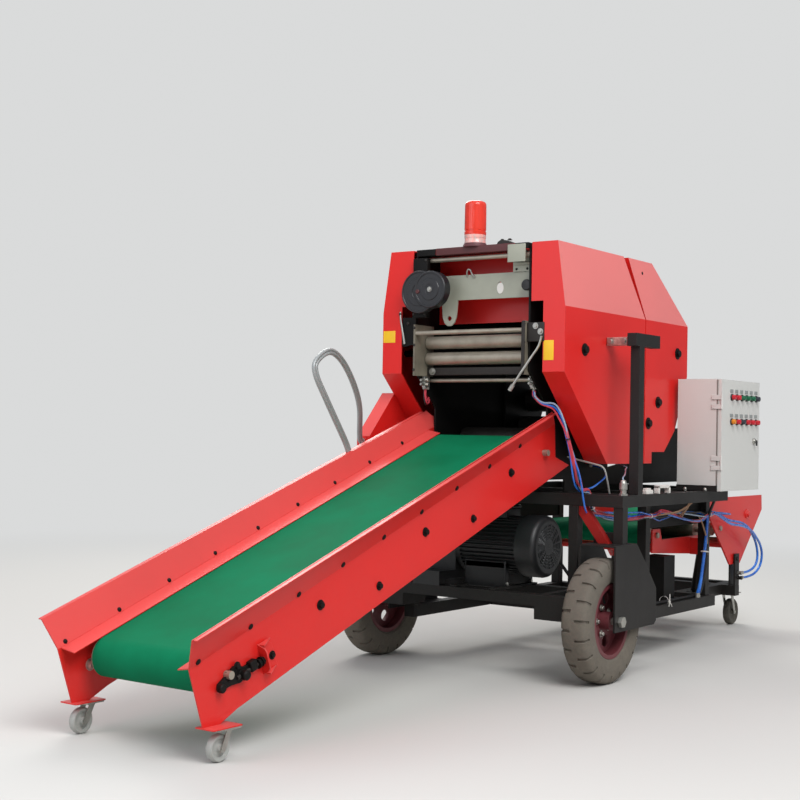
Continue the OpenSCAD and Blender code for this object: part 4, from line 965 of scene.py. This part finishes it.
class BALER_OT_mouth(bpy.types.Operator):
    """Fits the mouth: pulley covers, top bar with its knob and hook, levers, and a dark strip of painted
    shade on the near net side plate
    """
    bl_idname = "baler.mouth"
    bl_label = "Mouth fittings"

    def execute(self, context):
        toward = (-1, 0, 0)
        big = turned([(0, 0.086), (0.027, 0.086), (0.030, 0.084), (0.030, 0.079), (0.0275, 0.077),
                      (0.0275, 0.058), (0.030, 0.056), (0.030, 0.034), (0.028, 0.032), (0.028, 0.016),
                      (0.034, 0.014), (0.036, 0.010), (0.036, 0.002)], 72)
        small = turned([(0, 0.074), (0.036, 0.074), (0.0395, 0.0715), (0.0395, 0.066), (0.037, 0.064),
                        (0.037, 0.044), (0.0395, 0.042), (0.0395, 0.022), (0.038, 0.020), (0.038, 0.014),
                        (0.040, 0.011), (0.040, 0.002)], 72)
        parts = [box((-165, -140), (200, 269), (1400, 1640), 0.003, "black"),
                 (scatter(big, at(-165, 218, 1501), toward), "guard"),
                 (scatter(small, at(-165, 160, 1508), toward), "guard"),
                 # The maroon of this bolt head is red enamel darkened with painted shade
                 hexes(0.009, 0.006, at(-200.5, 218, 1501), toward, "maroon", 1.3),
                 hexes(0.008, 0.005, at(-204.6, 160, 1508), toward, "zinc", 1.3),
                 domes(0.006, 0.004, at(-165, [208, 262, 208], [1415, 1415, 1630]), toward, "dark_steel")]
        piece("pulley_covers", parts, "frame", replaces=["pulley_guard"])
        # The top bar's maroon is red enamel darkened with painted shade
        bar = [box((-152, -94), (-199, 167), (1648, 1677), 0.002, "maroon"),
               box((-152, -94), (168, 262), (1649, 1676), 0.002, "black"),
               box((-151, -94), (-262, -200), (1651, 1676), 0.002, "black"),
               box((-157, -152.2), (-252, -172), (1602, 1671), 0.0015, "sage")]
        lug = np.array([(-117, 1676.5), (-122, 1686), (-138, 1693), (-160, 1690), (-178, 1683),
                        (-185, 1676.5)], float)
        bar.append((plate(lug, 0.034, facing_front(-148)), "dark_steel"))
        bar.append(hexes(0.007, 0.006, at(-131, [-132, -166], 1692), (0, 0, 1), "dark_steel"))
        bar.append(domes(0.005, 0.004, at(-106.2, [-184, -232, -184, -232], [1640, 1640, 1580, 1580]), toward,
                         "dark_steel"))
        bar.append(box((-112, -105), (-250, -172), (1596, 1606), 0.002, "sage"))
        bar.append(lathed([(0, 0.013), (0.012, 0.013), (0.014, 0.021), (0.030, 0.022), (0.034, 0.019),
                           (0.035, 0.004)], 28, at(-100, -243, 1514), toward, "knob"))
        oval = np.linspace(0, 2 * math.pi, 32, endpoint=False)
        bar.append((plate(np.stack([-108 + 15 * np.cos(oval), 1510 + 22 * np.sin(oval)], axis=-1), 0.002,
                          facing_front(-100.2, -1)), "white"))
        hook = ((-100, 47, 1560), (-106, 47, 1578), (-108, 40, 1590), (-107, 30, 1587), (-106, 24, 1574),
                (-104, 14, 1562), (-100, 10, 1556))
        bar.append(strand(hook, 0.0034, "zinc", 30))
        piece("mouth_bar", bar, "frame")
        nose = np.array([(362, 1396), (345, 1404), (337, 1430), (328, 1404), (263, 1402), (263, 1296),
                         (320, 1284), (361, 1309)], float)
        levers = [(plate(nose, 0.006, facing_front(-147)), "black"),
                  strand(((-149, 340, 1428), (-152, 335, 1392), (-153, 323, 1340), (-152, 315, 1296)), 0.0045,
                         "zinc", 24, 10, 0.5),
                  domes(0.008, 0.006, at(-147.2, [340, 300, 322], [1418, 1380, 1298]), toward, "dark_steel")]
        rod = ((-157, -330, 1312), (-160, -318, 1272), (-168, -288, 1226), (-176, -252, 1172),
               (-182, -221, 1124))
        grip = ((-182, -222, 1126), (-184, -208, 1104))
        levers += [strand(rod, 0.0046, "zinc", 40, 10), strand(grip, 0.0085, "zinc", 8, 12),
                   hexes(0.008, 0.008, at(-152, [-322, -300], [1330, 1352]), toward, "zinc"),
                   box((-152, -138), (-338, -262), (1292, 1366), 0.002, "dark_steel"),
                   # A thin dark strip in front of the near net side plate is painted shade, not a part
                   box((-168.5, -165.2), (-262, -247), (1168, 1372), 0.001, "dark_steel")]
        piece("mouth_levers", levers, "frame")
        return {"FINISHED"}


class BALER_OT_valves(bpy.types.Operator):
    """Screws the nipples and short hoses into the net unit's air valves, with the bar between them"""
    bl_idname = "baler.valves"
    bl_label = "Valve nipples"

    def execute(self, context):
        toward = (-1, 0, 0)
        under = [box((-76.5, -43.5), (-252, 252), (1170.5, 1201.5), 0.002, "dark_steel"),
                 hexes(0.010, 0.010, at(-77, [-225, 225], 1186), toward, "zinc")]
        for side in (-1, 1):
            under += [hexes(0.0088, 0.009, at([-90, -70], side * 254, 1122), (0, 0, -1), "zinc", 1.0),
                      lathed([(0, 0.007), (0.010, 0.007), (0.013, 0.0055), (0.020, 0.005)], 16,
                             at(-98, side * 254, [1150, 1134]), toward, "zinc"),
                      hexes(0.008, 0.008, at([-84, -84], side * 246.5, [1150, 1132]), (0, -side, 0), "zinc",
                            1.0),
                      domes(0.006, 0.004, at(-165, side * 257, [1190, 1290, 1360]), toward, "dark_steel")]
        for y, tall, key in ((252, 62, "red_hose"), (256, 50, "red_hose"), (259, 66, "black_hose")):
            bend = ((-84, y, 1118), (-84, y, 1118 - tall * 0.5), (-80, y - 2, 1118 - tall * 0.9),
                    (-66, y, 1118 - tall), (-52, y + 2, 1118 - tall * 0.75))
            under.append(strand(bend, 0.0036, key, 24))
        piece("valve_nipples", under, "frame")
        return {"FINISHED"}


class BALER_OT_braces(bpy.types.Operator):
    """Stands square braces on the wheel forks' boxes, up to the deck's front cross tube, mitred at both
    ends"""
    bl_idname = "baler.braces"
    bl_label = "Braces"

    def execute(self, context):
        mitred = np.array([(425, 664), (430, 657.5), (531.5, 525), (486, 525), (383, 657.5), (378, 664)])
        # The braces' red enamel is darkened with painted shade of the deck
        braces = [(plate(mitred * [side, 1], 0.034, facing_front(28)), "brace") for side in (-1, 1)]
        piece("diagonal_braces", braces, "frame")
        return {"FINISHED"}


class BALER_OT_plates(bpy.types.Operator):
    """Puts the blank yellow plates on the front of the covers"""
    bl_idname = "baler.plates"
    bl_label = "Blank plates"

    def execute(self, context):
        plates = [box((-150.1, -148.8), (-379, -335), (1220, 1296), 0.0005, "yellow"),
                  box((-150.1, -148.8), (363, 423), (1303, 1351), 0.0005, "yellow")]
        piece("blank_plates", plates, "frame")
        return {"FINISHED"}


class BALER_OT_hoop(bpy.types.Operator):
    """Bends the tube between the conveyor's board and the chain guard"""
    bl_idname = "baler.hoop"
    bl_label = "Bent tube"

    def execute(self, context):
        # The route follows the part's own tube; two pale tubes lie side by side in the plane of its bend
        route = ((-504, 318, 860), (-530, 320, 905), (-640, 324, 1055), (-700, 328, 1148), (-690, 333, 1200),
                 (-600, 342, 1240), (-500, 358, 1205), (-400, 378, 1118), (-330, 402, 1030), (-262, 450, 915),
                 (-230, 458, 893))
        line = curve(at(*np.array(route, float).T), 90)
        along = np.gradient(line, axis=0)
        shift = np.stack([-along[:, 2], 0 * along[:, 1], along[:, 0]], axis=-1)
        shift *= 0.0062 / np.linalg.norm(shift, axis=1)[:, None]
        tubes = [(sweep(line + sign * shift, 0.0078, 16), "tube") for sign in (-1, 1)]
        piece("bent_tube", tubes, "frame", ["hoop"])
        return {"FINISHED"}


class BALER_OT_motor(bpy.types.Operator):
    """Casts the drive motor: finned body, fan cowl with its grille, end bell, terminal box and feet"""
    bl_idname = "baler.motor"
    bl_label = "Motor"

    def execute(self, context):
        middle = at(60, 0, 494)

        def fins(along, radius, turn):
            # Forty thin fins stand out of the body between its two flat ends
            run = np.clip((along + 0.160) / 0.004, 0, 1) * np.clip((0.094 - along) / 0.004, 0, 1)
            crest = np.clip((np.cos(40 * turn) + 0.1) * 1.6, 0, 1)
            return along, radius - 0.011 * run * (1 - crest)

        body = revolve([(-0.168, 0.095), (-0.168, 0.114), (-0.160, 0.116), (-0.156, 0.116), (0.090, 0.116),
                        (0.094, 0.116), (0.098, 0.1175), (0.116, 0.1175), (0.119, 0.114), (0.120, 0.100)],
                       middle, (0, 1, 0), 320, fins)

        def grille(along, radius, turn):
            # The cowl's face carries rings of slots
            face = np.clip((-0.2505 - along) / 0.001, 0, 1)
            band = (radius > 0.034) & (radius < 0.094) & (np.cos(radius * 2 * math.pi / 0.012) > 0)
            slots = (np.cos(16 * turn) > -0.5) * band
            return along + 0.003 * face * slots, radius

        rows = [(-0.164, 0.119), (-0.164, 0.1228), (-0.232, 0.1228), (-0.243, 0.1200), (-0.250, 0.1130),
                (-0.2538, 0.1030)]
        rows += [(-0.2538, 0.100 - 0.002 * k) for k in range(48)]
        cowl = revolve(rows, middle, (0, 1, 0), 160, grille)
        parts = [(body, "casting"), (cowl, "casting"), box((5, 115), (-90, 40), (600, 640), 0.006, "casting"),
                 box((1, 119), (-94, 44), (640, 650), 0.004, "casting"),
                 hexes(0.005, 0.004, at([10, 110, 10, 110], [-86, -86, 36, 36], 650), (0, 0, 1), "zinc"),
                 box((-48, 168), (-120, 70), (402, 434), 0.006, "casting"),
                 box((-48, -18), (-120, 70), (328, 434), 0.004, "casting"),
                 box((138, 168), (-120, 70), (328, 434), 0.004, "casting"),
                 box((-138, 190), (-130, -100), (328, 336), 0.002, "chassis"),
                 box((-138, 190), (50, 80), (328, 336), 0.002, "chassis"),
                 box((20, 100), (-60, 30), (560, 604), 0.006, "casting"),
                 hexes(0.008, 0.007, at([-33, -33, 153, 153], [-118, 68, -118, 68], 345), (0, -1, 0), "zinc"),
                 (revolve([(0, 0.016), (0.012, 0.016), (0.014, 0.012), (0.024, 0.011)], at(115, -25, 620),
                          (1, 0, 0), 20), "knob")]
        piece("motor_cast", parts, "frame", replaces=["motor"])
        return {"FINISHED"}


class BALER_OT_hoses(bpy.types.Operator):
    """Runs the bundle of thin air hoses, its ties, the tan cables and the motor's lead"""
    bl_idname = "baler.hoses"
    bl_label = "Hoses"

    def execute(self, context):
        r = settings()[0].hose_radius
        route = ((-81, -255, 1103.7), (-80, -258, 1082), (-71, -287, 1056), (-56, -335, 1042),
                 (-50, -368, 985), (-50, -392, 920), (-42, -405, 860), (-30, BUNDLE_Y, 800),
                 (-10, BUNDLE_Y, 752), (20, BUNDLE_Y, 728), (44, BUNDLE_Y, 720.5), (66, BUNDLE_Y, 720),
                 (86, BUNDLE_Y, 713), (101, BUNDLE_Y, 690), (112, BUNDLE_Y, 664), (132, BUNDLE_Y, 644),
                 (175, BUNDLE_Y, 630), (300, BUNDLE_Y, 616), (460, BUNDLE_Y, 607), (640, BUNDLE_Y, 602),
                 (850, BUNDLE_Y, 590), (1060, BUNDLE_Y, 583), (1200, BUNDLE_Y, 585), (1300, BUNDLE_Y, 588))
        line = curve(at(*np.array(route).T), 231)
        run = np.concatenate([[0], np.cumsum(np.linalg.norm(np.diff(line, axis=0), axis=1))])
        rng = np.random.default_rng(11)
        # The hoses keep together at the ties and stray a little between them
        tied = ((-50, -392, 920), (30, -411, 724), (120, -411, 655), (640, -411, 602), (1265, -411, 587))
        ties = run[[np.argmin(np.linalg.norm(line - at(*p), axis=1)) for p in tied]]
        held = np.concatenate([[0], ties, [run[-1]]])
        free = np.clip(np.min(np.abs(run[:, None] - held[None, :]), axis=1) / 0.10, 0, 1)[:, None]
        keys = ("blue_hose", "red_hose", "blue_hose", "red_hose", "pale_hose", "black_hose", "blue_hose")
        lay, reach, sag = 0.0052, (0.010, 0.002, 0.013), (0, 0.003, 0)
        parts = []
        for i, key in enumerate(keys):
            angle = 2 * math.pi * i / len(keys) + 0.6 * run
            ring = np.stack([0 * angle, np.cos(angle), np.sin(angle)], axis=-1) * (lay if i else 0.0)
            wave = np.stack([np.sin(run * f + rng.uniform(0, 6.28)) for f in rng.uniform(4, 9, 3)], axis=-1)
            wide = 1 + 0.7 * np.clip((run[:, None] - ties[3]) / 0.1, 0, 1)
            stray = wave * wide * reach - sag
            parts.append((sweep(line + ring + stray * free, r, 8), key))
        for tie, key in ((0, "knob"), (3, "white"), (4, "white"), (2, "white")):
            k = int(np.argmin(np.abs(run - ties[tie])))
            parts.append(ring_of(0.0025, 0.0092, 0.0104, line[k], line[k + 1] - line[k - 1], key))
        piece("hose_bundle", parts, "frame", ["air_hoses"])
        extra = [("blue_hose", r, ((18, -408, 729), (80, -404, 728), (144, -400, 734), (215, -393, 752),
                                   (273, -385, 771), (320, -362, 792), (352, -318, 808), (362, -272, 815))),
                 ("red_hose", r, ((-42, -409, 862), (-26, -424, 806), (-8, -431, 748), (8, -431, 694),
                                  (36, -429, 652), (104, -427, 636), (190, -425, 625), (300, -421, 614))),
                 ("blue_hose", r, ((-46, -404, 872), (-34, -430, 800), (-20, -438, 740), (-2, -438, 686),
                                   (30, -435, 640), (104, -433, 626), (190, -430, 618), (300, -421, 606))),
                 ("blue_hose", 0.0055,
                  ((1236, -412, 582), (1233, -414, 560), (1222, -414, 480), (1200, -413, 380),
                   (1178, -411, 290), (1164, -404, 222))),
                 ("blue_hose", 0.0055,
                  ((1224, -413, 582), (1220, -417, 560), (1208, -417, 480), (1187, -415, 380),
                   (1166, -412, 290), (1150, -402, 222))),
                 ("tan_cable", 0.0042,
                  ((836, -545, 711), (828, -538, 690), (806, -515, 650), (776, -478, 620), (730, -432, 607),
                   (690, -418, 604))),
                 ("tan_cable", 0.0042,
                  ((858, -505, 711), (856, -500, 680), (862, -482, 640), (880, -448, 608), (910, -422, 594))),
                 ("tan_cable", 0.0042,
                  ((872, -500, 711), (872, -494, 676), (880, -474, 636), (900, -446, 606), (935, -423, 592))),
                 ("tan_cable", 0.0036,
                  ((1130, -417, 580), (1160, -420, 550), (1196, -419, 506), (1228, -415, 470),
                   (1252, -407, 430), (1262, -403, 400))),
                 ("black_hose", 0.0065,
                  ((139, -25, 620), (168, -40, 612), (196, -120, 540), (214, -220, 420), (232, -320, 290),
                   (256, -372, 232), (300, -387, 222), (500, -388, 222), (720, -386, 222), (900, -388, 222),
                   (1060, -386, 222), (1180, -388, 222), (1216, -392, 240), (1232, -406, 330),
                   (1240, -409, 440), (1241, -412, 560), (1236, -440, 640), (1228, -480, 711))),
                 ("black_hose", 0.0050,
                  ((330, -376, 221), (420, -374, 221), (640, -377, 221), (860, -375, 221), (1050, -377, 221),
                   (1170, -376, 221)))]
        more = [strand(points, radius, key, 12 * len(points), 10) for key, radius, points in extra]
        more += [ring_of(0.003, 0.0165, 0.0180, at(1206, -414, 420), (0.1, 0, 1), "white"),
                 strand(((842, -413, 256), (836, -416, 236), (830, -417, 226), (826, -417, 204)), 0.0022,
                        "white", 16),
                 strand(((838, -416, 228), (842, -417, 216), (850, -417, 210), (858, -416, 202)), 0.0022,
                        "white", 16), ring_of(0.002, 0.0205, 0.0215, at(838, -388, 225), (1, 0, 0), "white")]
        more += [lathed([(0, 0.009), (0.010, 0.009), (0.012, 0.007), (0.020, 0.0068)], 16,
                        at([1164, 1150], -404, 215.2), (0, 0, 1), "zinc"),
                 lathed([(0, 0.008), (0.008, 0.008), (0.010, 0.006), (0.016, 0.0055)], 16,
                        at(362, -269.2, 815), (0, -1, 0), "zinc"),
                 lathed([(0, 0.009), (0.012, 0.009), (0.014, 0.006)], 16,
                        at([836, 858, 872, 1228], [-545, -505, -500, -480], DECK_Z), (0, 0, -1), "knob")]
        piece("loose_lines", more, "frame")
        return {"FINISHED"}


class BALER_OT_deck(bpy.types.Operator):
    """Puts the small white brackets and the silver valve on the near side of the deck"""
    bl_idname = "baler.deck"
    bl_label = "Deck fittings"

    def execute(self, context):
        clamp = [box((345, 357), (-588, -566), (DECK_Z, 742), 0.002, "white"),
                 box((443, 455), (-588, -566), (DECK_Z, 742), 0.002, "white"),
                 box((345, 455), (-588, -566), (732, 743), 0.002, "white"),
                 box((240, 300), (-586, -560), (DECK_Z, 727), 0.003, "white"),
                 box((250, 288), (-582, -564), (726, 734), 0.003, "white"),
                 lathed([(0, 0.017), (0.006, 0.017), (0.008, 0.012), (0.020, 0.012), (0.024, 0.0155),
                         (0.046, 0.0155), (0.050, 0.012), (0.058, 0.010), (0.060, 0.004)], 28,
                        at(64, -572, DECK_Z), (0, 0, 1), "zinc"),
                 hexes(0.010, 0.008, at(64, -572, 716), (0, 0, 1), "zinc"),
                 strand(((64, -572, 766), (72, -566, 778), (120, -548, 785), (200, -512, 794),
                         (290, -468, 806), (352, -440, 812), (400, -380, 822), (425, -320, 830),
                         (430, -270.2, 836)), 0.0030, "pale_hose", 60),
                 strand(((165, -462, 710.4), (140, -464, 764), (124, -455, 812), (140, -400, 826),
                         (160, -330, 838), (170, -270.2, 850)), 0.0036, "nylon", 40)]
        piece("deck_fittings", clamp, "frame")
        return {"FINISHED"}


class BALER_PT_panel(bpy.types.Panel):
    """Lists the steps that dress the baler"""
    bl_idname = "BALER_PT_panel"
    bl_label = "Round baler"
    bl_space_type = "VIEW_3D"
    bl_region_type = "UI"
    bl_category = "Baler"

    def draw(self, context):
        for group in (context.scene.baler_sizes, context.scene.baler_colours):
            for key in group.__annotations__:
                self.layout.prop(group, key)
        for step in STEPS:
            self.layout.operator(step.bl_idname)


STEPS = (BALER_OT_camera, BALER_OT_finishes, BALER_OT_loops, BALER_OT_stage, BALER_OT_tyres, BALER_OT_casters,
         BALER_OT_bolts, BALER_OT_take_ups, BALER_OT_cabinet, BALER_OT_beacon, BALER_OT_mouth,
         BALER_OT_valves, BALER_OT_braces, BALER_OT_plates, BALER_OT_hoop, BALER_OT_motor, BALER_OT_hoses,
         BALER_OT_deck)


def register():
    """Registers the classes and gives the scene its sizes and colours."""
    for each in (BalerSizes, BalerColours, *STEPS, BALER_PT_panel):
        bpy.utils.register_class(each)
    bpy.types.Scene.baler_sizes = bpy.props.PointerProperty(type=BalerSizes)
    bpy.types.Scene.baler_colours = bpy.props.PointerProperty(type=BalerColours)


def unregister():
    """Takes the sizes, the colours and the classes away again."""
    del bpy.types.Scene.baler_sizes
    del bpy.types.Scene.baler_colours
    for each in reversed((BalerSizes, BalerColours, *STEPS, BALER_PT_panel)):
        bpy.utils.unregister_class(each)


def main():
    """Runs every step in order."""
    register()
    for step in STEPS:
        group, name = step.bl_idname.split(".")
        getattr(getattr(bpy.ops, group), name)()
    bpy.context.view_layer.update()


if __name__ == "__main__":
    main()
